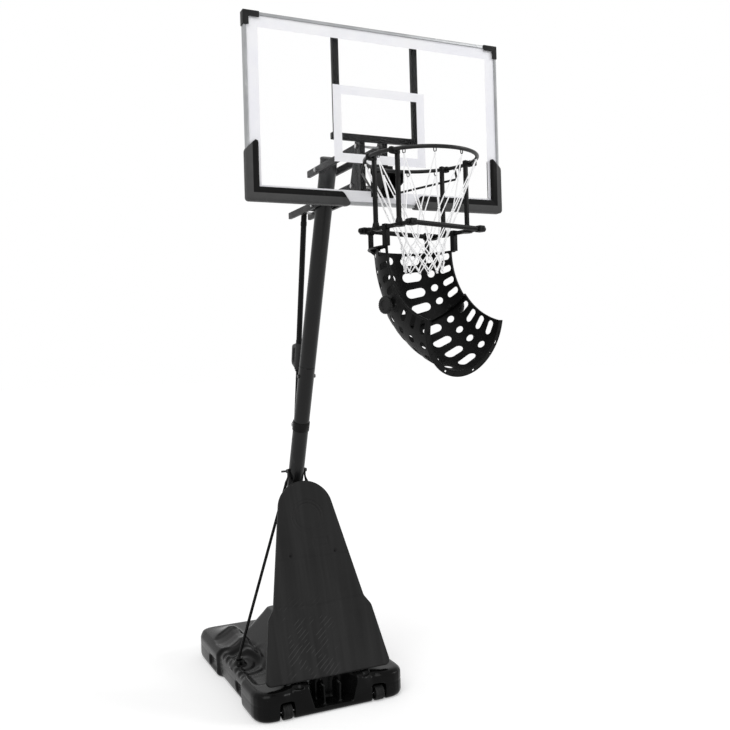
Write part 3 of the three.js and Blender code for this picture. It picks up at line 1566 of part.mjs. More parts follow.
function chuteUpper() {
  const end = hingeBend + overlapBend(upperOverlap);
  const shell = trough(chuteRadius, facetBends(0, end, upperRowStart, upperRowPitch));
  const flange = troughFlange(chuteRadius, chuteTopFlange, 0, -chuteFlangeThickness);
  const legs = [-1, 1].flatMap((side) => [railPost(side), rearLeg(side)]);
  const cutters = slotRows(chuteRadius, upperRowStart, upperRowPitch);
  return moved(cut(join([shell, flange, ...legs]), [...cutters, hingeHole()]), returnFrame);
}

function chuteLower() {
  const start = hingeBend - overlapBend(lowerOverlap);
  const shell = trough(lowerRadius, facetBends(start, chuteEndBend, lowerRowStart, lowerRowPitch));
  const flange = troughFlange(lowerRadius, chuteExitFlange, chuteEndBend, 0);
  const cutters = slotRows(lowerRadius, lowerRowStart, lowerRowPitch);
  return moved(cut(join([shell, flange]), [...cutters, hingeHole()]), returnFrame);
}

// The hinge's bolt with its round knob outside and its head inside the trough.
function hingeKnob(side) {
  const wallAt = (radius, nearest) => Math.sqrt(radius ** 2 - nearest ** 2);
  const outside = lowerRadius + chuteWall + seatGap;
  const bossEnd = wallAt(lowerRadius + chuteWall, hingeOffset - knobBossRadius) + seatGap;
  const flat = Math.cos(Math.PI / (2 * troughSteps));
  const headEnd = wallAt(chuteRadius * flat, hingeOffset + knobBossRadius) - seatGap;
  const profile = [
    vec2(0, 0), vec2(knobRadius, 0), vec2(knobRadius, knobThickness - knobRound),
    vec2(knobRadius - knobRound, knobThickness), vec2(knobRadius / 2, knobThickness),
    vec2(knobRadius / 2 - knobRound, knobThickness - knobRound),
    vec2(0, knobThickness - knobRound), vec2(0, 0),
  ];
  const disc = moved(
    turned(profile), shift(outside, hingePoint.y, hingePoint.z).multiply(turnY(Math.PI / 2)),
  );
  const boss = crossBarAt(hingePoint, bossEnd, outside + knobRound, knobBossRadius);
  const shaft = crossBarAt(hingePoint, headEnd - knobHeadThickness, outside + knobRound, knobBoltRadius, smallRound);
  const head = crossBarAt(hingePoint, headEnd - knobHeadThickness, headEnd, knobBossRadius, 6);
  const right = join([disc, boss, shaft, head]);
  return moved(side > 0 ? right : mirrored(right), returnFrame);
}

const sides = [['left', -1], ['right', 1]];

addPart('base_tank', baseTank(), materials.tank);
addPart('filler_cap', fillerCap(), materials.tank);
for (const [name, side] of sides) {
  addPart(`wheel_${name}`, wheel(side), materials.wheel);
  addPart(`wheel_axle_${name}`, wheelAxle(side), materials.bolt);
}
addPart('pole_lower', poleLower(), materials.steel);
addPart('pole_upper', poleUpper(), materials.steel);
addPart('pole_cap', poleCap(), materials.black);
addPart('pole_joint_bolt', throughBolt(vec(0, poleAxisY(jointBoltHeight), jointBoltHeight), poleRadius), materials.bolt);
addPart('brace_bolt', throughBolt(bracePoint, poleRadius + 2 * (lugThickness + seatGap), boltRadius, braceBoltTail), materials.bolt);
for (const [name, side] of sides) {
  addPart(`side_brace_${name}`, sideBrace(side), materials.black);
  addPart(`cover_screw_${name}`, coverScrew(side), materials.bolt);
  addPart(`front_strut_${name}`, cut(frontStrut(side), [screwHoleInStrut(side)]), materials.black);
}
addPart('front_cover', frontCover(), materials.cover);
addPart('strut_bracket', strutBracket(), materials.steel);
addPart('strut_anchor_bolt', throughBolt(strutAnchor, strutEyeWidth / 2 + seatGap + clampEarThickness), materials.bolt);
addPart('upper_pivot_bolt', polePivot(upperPivot), materials.bolt);
addPart('lower_pivot_bolt', polePivot(lowerPivot), materials.bolt);
for (const [name, side] of sides) {
  addPart(`lower_arm_${name}`, lowerArm(side), materials.steel);
  addPart(`upper_arm_${name}`, upperArm(side), materials.steel);
}
addPart('lower_arm_spacer', armSpacer(), materials.black);
addPart('strut_tube', strutTube(), materials.steel);
addPart('strut_rod', strutRod(), materials.black);
addPart('strut_head_pin', strutHeadPin(), materials.bolt);
addPart('grip_handle', gripHandle(), materials.black);
addPart('grip_trigger', gripTrigger(), materials.black);
addPart('cross_bar', crossBar(), materials.black);
for (const [name, side] of sides) {
  addPart(`board_bracket_${name}`, boardBracket(side), materials.black);
  addPart(`rear_upright_${name}`, rearUpright(side), materials.black);
  addPart(`corner_cap_${name}`, cornerCap(side), materials.pad);
  addPart(`corner_pad_${name}`, cornerPad(side), materials.pad);
}
addPart('carrier_upper_bolt', carrierBolt(carrierUpper), materials.bolt);
addPart('carrier_lower_bolt', carrierBolt(carrierLower), materials.bolt);
addPart('board_panel', boardPanel(), materials.clear);
for (const [name, make] of Object.entries(frameEdges)) addPart(name, make(), materials.aluminium);
addPart('rim_bracket', rimBracket(), materials.black);
addPart('rim_ring', rimRing(), materials.black);
addPart('net', net(), materials.net);
for (const [name, side] of sides) {
  addPart(`hanger_${name}`, hangerBars(side), materials.black);
  addPart(`hinge_knob_${name}`, hingeKnob(side), materials.chute);
}
addPart('cross_tube_front', crossTube(-1), materials.black);
addPart('cross_tube_rear', crossTube(1), materials.black);
addPart('hanger_clamp_knob', clampKnob(), materials.chute);
addPart('chute_upper', chuteUpper(), materials.chute);
addPart('chute_lower', chuteLower(), materials.chute);

export default model;
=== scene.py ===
# %% [markdown]
# # A portable basketball hoop with a ball return chute
# The hoop is about 3.4 m tall. Its frame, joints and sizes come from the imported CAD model, and this
# script dresses that frame: smooth tubes in place of faceted ones, a blow-moulded tank, a twisted net,
# a slotted chute and worn finishes. Everything is in metres, with X across the board, Y towards the
# back of the base and Z up.

# %% Load the frame
import json
import math
import bmesh
import bpy
import numpy as np
from mathutils import Matrix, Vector
from mathutils.geometry import delaunay_2d_cdt

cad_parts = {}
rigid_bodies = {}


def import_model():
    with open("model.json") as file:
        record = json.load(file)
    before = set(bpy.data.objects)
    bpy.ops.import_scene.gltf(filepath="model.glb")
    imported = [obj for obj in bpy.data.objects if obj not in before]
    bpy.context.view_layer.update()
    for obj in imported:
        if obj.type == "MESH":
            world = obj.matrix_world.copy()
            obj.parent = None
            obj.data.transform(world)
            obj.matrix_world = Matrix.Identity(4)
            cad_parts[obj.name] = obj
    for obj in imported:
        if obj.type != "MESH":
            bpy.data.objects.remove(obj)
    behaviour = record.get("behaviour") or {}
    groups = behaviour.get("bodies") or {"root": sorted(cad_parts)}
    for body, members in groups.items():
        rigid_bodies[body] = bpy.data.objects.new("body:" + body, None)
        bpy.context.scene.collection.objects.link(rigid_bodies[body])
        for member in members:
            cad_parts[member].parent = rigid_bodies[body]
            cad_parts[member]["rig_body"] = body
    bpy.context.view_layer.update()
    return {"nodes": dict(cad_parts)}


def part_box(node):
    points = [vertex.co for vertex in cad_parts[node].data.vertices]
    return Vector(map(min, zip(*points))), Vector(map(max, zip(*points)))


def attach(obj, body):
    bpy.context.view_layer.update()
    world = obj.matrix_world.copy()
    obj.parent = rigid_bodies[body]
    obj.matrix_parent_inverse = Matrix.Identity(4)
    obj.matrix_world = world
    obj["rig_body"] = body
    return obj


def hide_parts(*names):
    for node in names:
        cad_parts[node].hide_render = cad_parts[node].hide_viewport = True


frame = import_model()
NODES = frame["nodes"]

# %% [markdown]
# ## The camera
# The photograph was taken from the front left, at about the height of a person's eyes. The place, the
# turn and the focal length were worked out by fitting the board's corners, the rim and the base to the
# picture. A camera looks along its own -Z axis, so its matrix has the right, up and backward directions
# as columns. The small shift is there because the picture's optical centre isn't quite its middle.

# %% Place the camera
PHOTO_SIZE = 730
FOCAL_PIXELS = 848.23
PRINCIPAL_POINT = (362.05, 354.78)
CAMERA_PLACE = (-1.7231, -4.8113, 1.8986)
CAMERA_YAW, CAMERA_PITCH, CAMERA_ROLL = 0.4338, -0.0005, -0.0285


def camera_axes(yaw, pitch, roll):
    """Right, up and forward: forward from yaw and pitch, then right and up turned by the roll."""
    forward = np.array([
        math.sin(yaw) * math.cos(pitch), math.cos(yaw) * math.cos(pitch), math.sin(pitch),
    ])
    level = np.array([math.cos(yaw), -math.sin(yaw), 0.0])
    rise = np.cross(level, forward)
    right = math.cos(roll) * level + math.sin(roll) * rise
    up = -math.sin(roll) * level + math.cos(roll) * rise
    return right, up, forward


camera = bpy.data.objects.new("photo_camera", bpy.data.cameras.new("photo_camera"))
bpy.context.scene.collection.objects.link(camera)
right, up, forward = camera_axes(CAMERA_YAW, CAMERA_PITCH, CAMERA_ROLL)
turn = Matrix([[right[i], up[i], -forward[i]] for i in range(3)]).to_4x4()
camera.matrix_world = Matrix.Translation(CAMERA_PLACE) @ turn
camera.data.sensor_width = 36
camera.data.lens = FOCAL_PIXELS * camera.data.sensor_width / PHOTO_SIZE
camera.data.shift_x = (PHOTO_SIZE / 2 - PRINCIPAL_POINT[0]) / PHOTO_SIZE
camera.data.shift_y = (PRINCIPAL_POINT[1] - PHOTO_SIZE / 2) / PHOTO_SIZE
camera.data.clip_start, camera.data.clip_end = 0.05, 200
bpy.context.scene.camera = camera
print("lens:", round(camera.data.lens, 2), "mm")

# %% [markdown]
# ## Shapes from arrays
# Most parts of a hoop are tubes, turned parts and bars. Each of these is a grid of points worked out
# with numpy, where rows run along the part and columns run round it, so one function makes the faces of
# them all. Several closed shells can then share one mesh. A shell is a pair: its points and its faces.

# %% Grids, tubes and turned shapes
MM = 0.001
ROUND_STEPS = 4
TURNED_SIDES = 48


def grid_faces(rows, columns, closed_rows=False):
    """Each cell's corners: (row, column), (row, column+1), (row+1, column+1), (row+1, column)."""
    r = np.arange(rows if closed_rows else rows - 1)[:, None]
    c = np.arange(columns)[None, :]
    r_next, c_next = (r + 1) % rows, (c + 1) % columns
    corners = [r * columns + c, r * columns + c_next, r_next * columns + c_next, r_next * columns + c]
    return np.stack(np.broadcast_arrays(*corners), -1).reshape(-1, 4).tolist()


def ring_shell(rings, closed_rows=False):
    """Rings of points (row, column, xyz), joined row to row, with a fan to its middle at each open end."""
    rows, columns = rings.shape[:2]
    points = rings.reshape(-1, 3)
    faces = grid_faces(rows, columns, closed_rows)
    if not closed_rows:
        middles = np.stack([rings[0].mean(0), rings[-1].mean(0)])
        first, last = rows * columns, rows * columns + 1
        points = np.concatenate([points, middles])
        j = np.arange(columns)
        k = (j + 1) % columns
        end = (rows - 1) * columns
        faces += np.stack([np.full(columns, first), k, j], -1).tolist()
        faces += np.stack([np.full(columns, last), end + j, end + k], -1).tolist()
    return points, faces


def unit(v):
    """v divided by its length."""
    v = np.asarray(v, float)
    return v / np.linalg.norm(v, axis=-1, keepdims=True)


def across(axis):
    """Two directions at right angles to an axis: the first is a cross product with whichever world axis
    is furthest from it."""
    axis = unit(axis)
    helper = np.eye(3)[np.argmin(np.abs(axis))]
    first = unit(np.cross(helper, axis))
    return first, np.cross(axis, first)


def lathe(profile, origin, axis, sides=TURNED_SIDES, closed=False):
    """A profile of (radius, height) turned about an axis: origin + height*axis + radius*(cos a, sin a)."""
    profile = np.asarray(profile, float)
    first, second = across(axis)
    angle = np.arange(sides) / sides * 2 * math.pi
    round_axis = np.cos(angle)[:, None] * first + np.sin(angle)[:, None] * second
    rings = (
        np.asarray(origin, float)
        + profile[:, 1, None, None] * unit(axis)
        + profile[:, 0, None, None] * round_axis
    )
    return ring_shell(rings, closed_rows=closed)


def rod(start, end, radius, rounding, sides=32):
    """A solid bar with rounded ends: a quarter circle of (radius, height), the length, a quarter circle."""
    start, end = np.asarray(start, float), np.asarray(end, float)
    length = np.linalg.norm(end - start)
    a = np.linspace(0, math.pi / 2, ROUND_STEPS + 1)
    foot = np.stack([radius - rounding + rounding * np.sin(a), rounding - rounding * np.cos(a)], -1)
    head = np.stack([foot[::-1, 0], length - foot[::-1, 1]], -1)
    return lathe(np.concatenate([foot, head]), start, end - start, sides)


def pipe(start, end, outer, inner, sides=64, rounding=1.0 * MM):
    """A hollow tube: its wall's section, with small chamfers at the four corners, turned about the axis."""
    start, end = np.asarray(start, float), np.asarray(end, float)
    length = np.linalg.norm(end - start)
    e = min(rounding, (outer - inner) * 0.45)
    section = [
        (outer - e, 0), (outer, e), (outer, length - e), (outer - e, length),
        (inner + e, length), (inner, length - e), (inner, e), (inner + e, 0),
    ]
    return lathe(section, start, end - start, sides, closed=True)


def smooth_curve(points, steps):
    """Catmull-Rom: between points 1 and 2, half of (2 p1 + (p2-p0) t + (2p0-5p1+4p2-p3) t^2
    + (3p1-p0-3p2+p3) t^3), for the list with its ends mirrored outwards."""
    p = np.asarray(points, float)
    p = np.concatenate([[2 * p[0] - p[1]], p, [2 * p[-1] - p[-2]]])
    t = np.linspace(0, 1, steps, endpoint=False)[None, :, None]
    a, b, c, d = (p[i:len(p) - 3 + i, None, :] for i in range(4))
    curve = 0.5 * (
        2 * b + (c - a) * t + (2 * a - 5 * b + 4 * c - d) * t**2 + (3 * b - a - 3 * c + d) * t**3
    )
    return np.concatenate([curve.reshape(-1, 3), p[-2:-1]])


def along_curve(curve, radius, sides=12, closed=False):
    """A round tube along a curve: each ring's first direction is a fixed guide, square to the tangent."""
    curve = np.asarray(curve, float)
    if closed:
        tangent = np.roll(curve, -1, 0) - np.roll(curve, 1, 0)
    else:
        tangent = np.gradient(curve, axis=0)
    tangent = unit(tangent)
    guide = np.eye(3)[np.argmin(np.abs(tangent).max(0))]
    first = unit(np.cross(np.broadcast_to(guide, tangent.shape), tangent))
    second = np.cross(tangent, first)
    angle = np.arange(sides) / sides * 2 * math.pi
    radius = np.broadcast_to(radius, len(curve))[:, None, None]
    ring = np.cos(angle)[None, :, None] * first[:, None] + np.sin(angle)[None, :, None] * second[:, None]
    return ring_shell(curve[:, None] + radius * ring, closed_rows=closed)


def rounded_box(low, high, rounding, steps=ROUND_STEPS):
    """A box with round edges: a sphere of directions d, each at centre + sign(d)*(half - r) + r*d."""
    low, high = np.asarray(low, float), np.asarray(high, float)
    centre, half = (low + high) / 2, (high - low) / 2
    rounding = min(rounding, half.min() * 0.98)
    quarter = np.linspace(0, math.pi / 2, steps + 1)
    turn_angle = np.concatenate([quarter + i * math.pi / 2 for i in range(4)])
    turn_sign = np.array([(1, 1), (-1, 1), (-1, -1), (1, -1)]).repeat(steps + 1, axis=0)
    rise = np.concatenate([quarter - math.pi / 2, quarter])
    rise_sign = np.repeat([-1, 1], steps + 1)
    direction = np.stack([
        np.cos(rise)[:, None] * np.cos(turn_angle), np.cos(rise)[:, None] * np.sin(turn_angle),
        np.repeat(np.sin(rise)[:, None], len(turn_angle), 1),
    ], -1)
    sign = np.empty_like(direction)
    sign[..., 0], sign[..., 1] = turn_sign[:, 0], turn_sign[:, 1]
    sign[..., 2] = rise_sign[:, None]
    return ring_shell(centre + sign * (half - rounding) + rounding * direction)


def moved(shell, matrix):
    """A shell with each point multiplied by a 4 x 4 matrix."""
    matrix = np.asarray(matrix, float)
    return shell[0] @ matrix[:3, :3].T + matrix[:3, 3], shell[1]


def joined(shells):
    """Several shells as one: the points stacked, and each shell's face numbers moved on."""
    points, faces, start = [], [], 0
    for shell_points, shell_faces in shells:
        points.append(shell_points)
        faces += [[start + k for k in face] for face in shell_faces]
        start += len(shell_points)
    return np.concatenate(points), faces


print("a rounded box has", len(rounded_box((0, 0, 0), (1, 1, 1), 0.1)[1]), "faces")

# %% [markdown]
# ## From shells to pieces
# A piece is an object that rides on a body of the CAD model, stands in for one or more CAD nodes, and
# takes its finish from a material. Points that lie on each other are merged, so poles
# and seams are closed. A CAD part whose shape is right only needs its sharp edges broken: its mesh is
# copied, merged, and given a Bevel.

# %% Make pieces
CREASE_ANGLE, BEVEL_ANGLE, FLAT_ANGLE = 35, 38, 0.6
SAME_POINT, SAME_CAD_POINT = 0.001 * MM, 0.01 * MM


def add_piece(name, shell, body, material, replaced=(), crease=CREASE_ANGLE, uv=None):
    """One object from a shell, smooth except where faces meet at more than the crease angle."""
    mesh = bpy.data.meshes.new(name)
    mesh.from_pydata(shell[0], [], shell[1])
    if uv is not None:
        layer = mesh.uv_layers.new(name="along")
        layer.uv.foreach_set("vector", np.asarray(uv, np.float32).ravel())
    else:
        build = bmesh.new()
        build.from_mesh(mesh)
        bmesh.ops.remove_doubles(build, verts=build.verts, dist=SAME_POINT)
        bmesh.ops.dissolve_degenerate(build, edges=build.edges, dist=SAME_POINT)
        build.to_mesh(mesh)
        build.free()
    mesh.shade_smooth()
    mesh.set_sharp_from_angle(angle=math.radians(crease))
    return finish_piece(name, mesh, body, material, replaced)


def finish_piece(name, mesh, body, material, replaced):
    """Links the mesh as an object, gives it its material, says what it rides on, and hides the CAD parts it
    stands for.
    """
    piece = bpy.data.objects.new(name, mesh)
    bpy.context.scene.collection.objects.link(piece)
    mesh.materials.clear()
    mesh.materials.append(material)
    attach(piece, body)
    if replaced:
        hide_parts(*replaced)
    return piece


def merged_copy(node, name):
    """The node's mesh with its loose triangles merged and flat neighbours dissolved into one face."""
    build = bmesh.new()
    build.from_mesh(NODES[node].data)
    bmesh.ops.remove_doubles(build, verts=build.verts, dist=SAME_CAD_POINT)
    bmesh.ops.dissolve_limit(build, angle_limit=math.radians(FLAT_ANGLE), verts=build.verts,
                             edges=build.edges)
    mesh = bpy.data.meshes.new(name)
    build.to_mesh(mesh)
    build.free()
    return mesh


def softened(node, material, width, segments=2):
    """A copy of a CAD part with a Bevel of this width on its sharp edges."""
    mesh = merged_copy(node, node + "_soft")
    mesh.shade_smooth()
    piece = finish_piece(node + "_soft", mesh, NODES[node]["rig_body"], material, [node])
    bevel = piece.modifiers.new("round_edges", "BEVEL")
    bevel.width, bevel.segments = width, segments
    bevel.limit_method, bevel.angle_limit = "ANGLE", math.radians(BEVEL_ANGLE)
    bevel.harden_normals = True
    return piece


# %% [markdown]
# ## One shared group for worn surfaces
# Moulded plastic and powder coat both show a slow change of tone, a fine grain, and a few light
# scratches where something rubbed them. One node group works these out from Object coordinates. Noise
# near its middle value draws thin wandering lines, and a slower noise decides where those lines show.
# The group puts out a colour, a roughness share and a height; each material sets its own values.

# %% The worn surface group
def group_of(name, inputs, outputs):
    """An empty shader node group with these inputs (name, type, value) and outputs (name, type)."""
    group = bpy.data.node_groups.new(name, "ShaderNodeTree")
    for socket, kind, value in inputs:
        made = group.interface.new_socket(socket, in_out="INPUT", socket_type=kind)
        if value is not None:
            made.default_value = value
    for socket, kind in outputs:
        group.interface.new_socket(socket, in_out="OUTPUT", socket_type=kind)
    return group, group.nodes.new("NodeGroupInput"), group.nodes.new("NodeGroupOutput")


def math_node(tree, operation, *values, clamp=False):
    """A Math node whose inputs are numbers or other nodes' outputs."""
    node = tree.nodes.new("ShaderNodeMath")
    node.operation, node.use_clamp = operation, clamp
    for i, value in enumerate(values):
        if isinstance(value, (int, float)):
            node.inputs[i].default_value = value
        else:
            tree.links.new(value, node.inputs[i])
    return node.outputs[0]


def step_node(tree, value, low, high, to_low=0.0, to_high=1.0):
    """A smooth step of a value from low..high to to_low..to_high."""
    node = tree.nodes.new("ShaderNodeMapRange")
    node.interpolation_type = "SMOOTHSTEP"
    tree.links.new(value, node.inputs["Value"])
    for socket, number in (("From Min", low), ("From Max", high), ("To Min", to_low), ("To Max", to_high)):
        node.inputs[socket].default_value = number
    return node.outputs["Result"]


def noise_node(tree, vector, scale, detail=3.0, stretch=None):
    """Noise on a vector, which may be stretched first; the scale is in features per metre."""
    if stretch is not None:
        longer = tree.nodes.new("ShaderNodeMapping")
        longer.inputs["Scale"].default_value = stretch
        tree.links.new(vector, longer.inputs["Vector"])
        vector = longer.outputs["Vector"]
    node = tree.nodes.new("ShaderNodeTexNoise")
    node.inputs["Detail"].default_value = detail
    tree.links.new(vector, node.inputs["Vector"])
    if isinstance(scale, (int, float)):
        node.inputs["Scale"].default_value = scale
    else:
        tree.links.new(scale, node.inputs["Scale"])
    return node.outputs["Fac"]


def mix_colour(tree, share, first, second):
    """Mixes two colours, given as values or outputs, by a share."""
    node = tree.nodes.new("ShaderNodeMix")
    node.data_type = "RGBA"
    tree.links.new(share, node.inputs["Factor"])
    for socket, colour in ((node.inputs[6], first), (node.inputs[7], second)):
        if isinstance(colour, tuple):
            socket.default_value = (*colour, 1.0)
        else:
            tree.links.new(colour, socket)
    return node.outputs[2]


def make_worn_group():
    """Colour: base to shade by slow noise, to wear on scratches. Height: the grain, less the scratches."""
    group, inlet, outlet = group_of("worn_surface", [
        ("Vector", "NodeSocketVector", None),
        ("Base", "NodeSocketColor", (0.02, 0.02, 0.02, 1)),
        ("Shade", "NodeSocketColor", (0.03, 0.03, 0.03, 1)),
        ("Wear", "NodeSocketColor", (0.1, 0.1, 0.1, 1)),
        ("Mottle Scale", "NodeSocketFloat", 6.0),
        ("Grain Scale", "NodeSocketFloat", 700.0),
        ("Scratch Scale", "NodeSocketFloat", 18.0),
        ("Scratches", "NodeSocketFloat", 0.5),
    ], [("Color", "NodeSocketColor"), ("Roughness", "NodeSocketFloat"), ("Height", "NodeSocketFloat")])
    vector = inlet.outputs["Vector"]
    mottle = step_node(group, noise_node(group, vector, inlet.outputs["Mottle Scale"], 5.0), 0.3, 0.7)
    grain = noise_node(group, vector, inlet.outputs["Grain Scale"], 2.0)
    wander = noise_node(group, vector, inlet.outputs["Scratch Scale"], 3.0, stretch=(1.0, 1.0, 0.35))
    line = step_node(group, math_node(group, "ABSOLUTE", math_node(group, "SUBTRACT", wander, 0.5)),
                     0.0, 0.008, 1.0, 0.0)
    patch = step_node(group, noise_node(group, vector, 3.7, 2.0), 0.52, 0.66)
    scratch = math_node(group, "MULTIPLY", math_node(group, "MULTIPLY", line, patch),
                        inlet.outputs["Scratches"], clamp=True)
    toned = mix_colour(group, mottle, inlet.outputs["Base"], inlet.outputs["Shade"])
    group.links.new(mix_colour(group, scratch, toned, inlet.outputs["Wear"]), outlet.inputs["Color"])
    rough = math_node(group, "MULTIPLY_ADD", grain, 0.35, math_node(group, "MULTIPLY", mottle, 0.65))
    group.links.new(math_node(group, "ADD", rough, scratch, clamp=True), outlet.inputs["Roughness"])
    group.links.new(math_node(group, "MULTIPLY_ADD", scratch, -0.6, grain), outlet.inputs["Height"])
    return group


WORN = make_worn_group()
worn_inputs = [item.name for item in WORN.interface.items_tree if item.in_out == "INPUT"]
print("worn surface inputs:", worn_inputs)

# %% [markdown]
# ## The finishes
# The object is nearly all black, but not one black: the tank is a glossy moulded plastic, the cover is
# matte, the steel is powder coated with a slight orange peel, and the chute is a satin plastic. Each is
# the shared group with its own colours and scales in front of a Principled shader. Most bolts are zinc
# plated, a few are blackened, and the board's edge is anodised aluminium.

# %% Materials from the worn surface group
def new_material(name):
    """A material with only a Principled shader and an output."""
    material = bpy.data.materials.new(name)
    material.use_nodes = True
    return material, material.node_tree, material.node_tree.nodes["Principled BSDF"]


def object_vector(tree):
    """The point's own coordinates, in metres."""
    return tree.nodes.new("ShaderNodeTexCoord").outputs["Object"]


def bump_from(tree, shader, height, distance, strength=1.0, normal=None):
    """A Bump node from a height into the shader's normal; returns the bent normal."""
    bump = tree.nodes.new("ShaderNodeBump")
    bump.inputs["Distance"].default_value = distance
    bump.inputs["Strength"].default_value = strength
    tree.links.new(height, bump.inputs["Height"])
    if normal is not None:
        tree.links.new(normal, bump.inputs["Normal"])
    tree.links.new(bump.outputs["Normal"], shader.inputs["Normal"])
    return bump.outputs["Normal"]


def grey(value, tint=0.0):
    """A grey from its linear value, a little bluer for a positive tint."""
    return (value * (1 - tint), value, value * (1 + tint))


def worn_material(name, tones, roughness, grain, bump, tints=(0.0, 0.0), mottle=6.0, scratches=0.4,
                  scratch_scale=18.0, metallic=0.0, specular=0.3, coat=0.0, coat_roughness=0.2):
    """The worn group before a Principled shader. The tones are the base's, the shade's and the wear's
    linear greys, the tints go with the first two, and scales are in features per metre."""
    material, tree, shader = new_material(name)
    worn = tree.nodes.new("ShaderNodeGroup")
    worn.node_tree = WORN
    tree.links.new(object_vector(tree), worn.inputs["Vector"])
    for socket, tone, tint in zip(("Base", "Shade", "Wear"), tones, (*tints, 0.0)):
        worn.inputs[socket].default_value = (*grey(tone, tint), 1.0)
    worn.inputs["Mottle Scale"].default_value = mottle
    worn.inputs["Grain Scale"].default_value = grain
    worn.inputs["Scratch Scale"].default_value = scratch_scale
    worn.inputs["Scratches"].default_value = scratches
    tree.links.new(worn.outputs["Color"], shader.inputs["Base Color"])
    spread = step_node(tree, worn.outputs["Roughness"], 0.0, 1.0, *roughness)
    tree.links.new(spread, shader.inputs["Roughness"])
    bump_from(tree, shader, worn.outputs["Height"], bump)
    shader.inputs["Metallic"].default_value = metallic
    shader.inputs["Specular IOR Level"].default_value = specular
    shader.inputs["Coat Weight"].default_value = coat
    shader.inputs["Coat Roughness"].default_value = coat_roughness
    return material


tank_plastic = worn_material("tank_plastic", (0.0014, 0.0032, 0.03), (0.17, 0.29), 260, 0.12 * MM,
                             mottle=5, scratches=0.3, specular=0.09)
cap_plastic = worn_material("cap_plastic", (0.0045, 0.0085, 0.05), (0.42, 0.56), 500, 0.12 * MM,
                            specular=0.2)
grip_plastic = worn_material("grip_plastic", (0.012, 0.018, 0.08), (0.50, 0.66), 650, 0.15 * MM,
                             scratches=0.5)
wheel_plastic = worn_material("wheel_plastic", (0.005, 0.010, 0.06), (0.45, 0.62), 400, 0.18 * MM,
                              mottle=40, scratches=0.8, scratch_scale=60, specular=0.15)
chute_plastic = worn_material("chute_plastic", (0.0018, 0.0042, 0.03), (0.38, 0.52), 420, 0.10 * MM,
                              mottle=9, scratches=0.3, specular=0.09)
pole_coat = worn_material("pole_coat", (0.0030, 0.0060, 0.06), (0.26, 0.36), 480, 0.06 * MM,
                          tints=(0.03, 0.03), mottle=4, scratches=0.3, specular=0.22, coat=0.04,
                          coat_roughness=0.22)
arm_coat = worn_material("arm_coat", (0.0034, 0.0066, 0.03), (0.36, 0.50), 480, 0.08 * MM,
                         tints=(0.04, 0.04), mottle=10, scratches=0.3, specular=0.11)
black_coat = worn_material("black_coat", (0.0022, 0.0045, 0.04), (0.36, 0.52), 520, 0.07 * MM,
                           mottle=8, scratches=0.4, specular=0.12)
rim_coat = worn_material("rim_coat", (0.0040, 0.0080, 0.08), (0.28, 0.42), 500, 0.06 * MM,
                         mottle=14, scratches=0.7, scratch_scale=40, specular=0.24)
zinc_plate = worn_material("zinc_plate", (0.52, 0.38, 0.75), (0.28, 0.46), 900, 0.03 * MM,
                           tints=(-0.02, 0.03), mottle=60, scratches=0.8, scratch_scale=120,
                           metallic=1.0, specular=0.5)
dark_bolt = worn_material("dark_bolt", (0.05, 0.09, 0.35), (0.30, 0.45), 900, 0.03 * MM,
                          mottle=60, scratches=0.8, scratch_scale=120, metallic=1.0, specular=0.5)
edge_aluminium = worn_material("edge_aluminium", (0.30, 0.36, 0.6), (0.34, 0.48), 700, 0.03 * MM,
                               tints=(0.02, 0.02), mottle=12, scratches=0.5, metallic=0.85,
                               specular=0.5)
print("materials:", len(bpy.data.materials))

# %% [markdown]
# ## Finishes with a pattern of their own
# The front cover is a matte sheet, with faint upright streaks and light hatching low down. The net is a
# twisted cord, drawn from the tube's own UV map: U runs along the cord in metres and V once round it. The
# board is clear, so it is mostly transparent, and the border printed on it is a milky white. The corner
# pads are two-tone, with a grey strip on the outside.

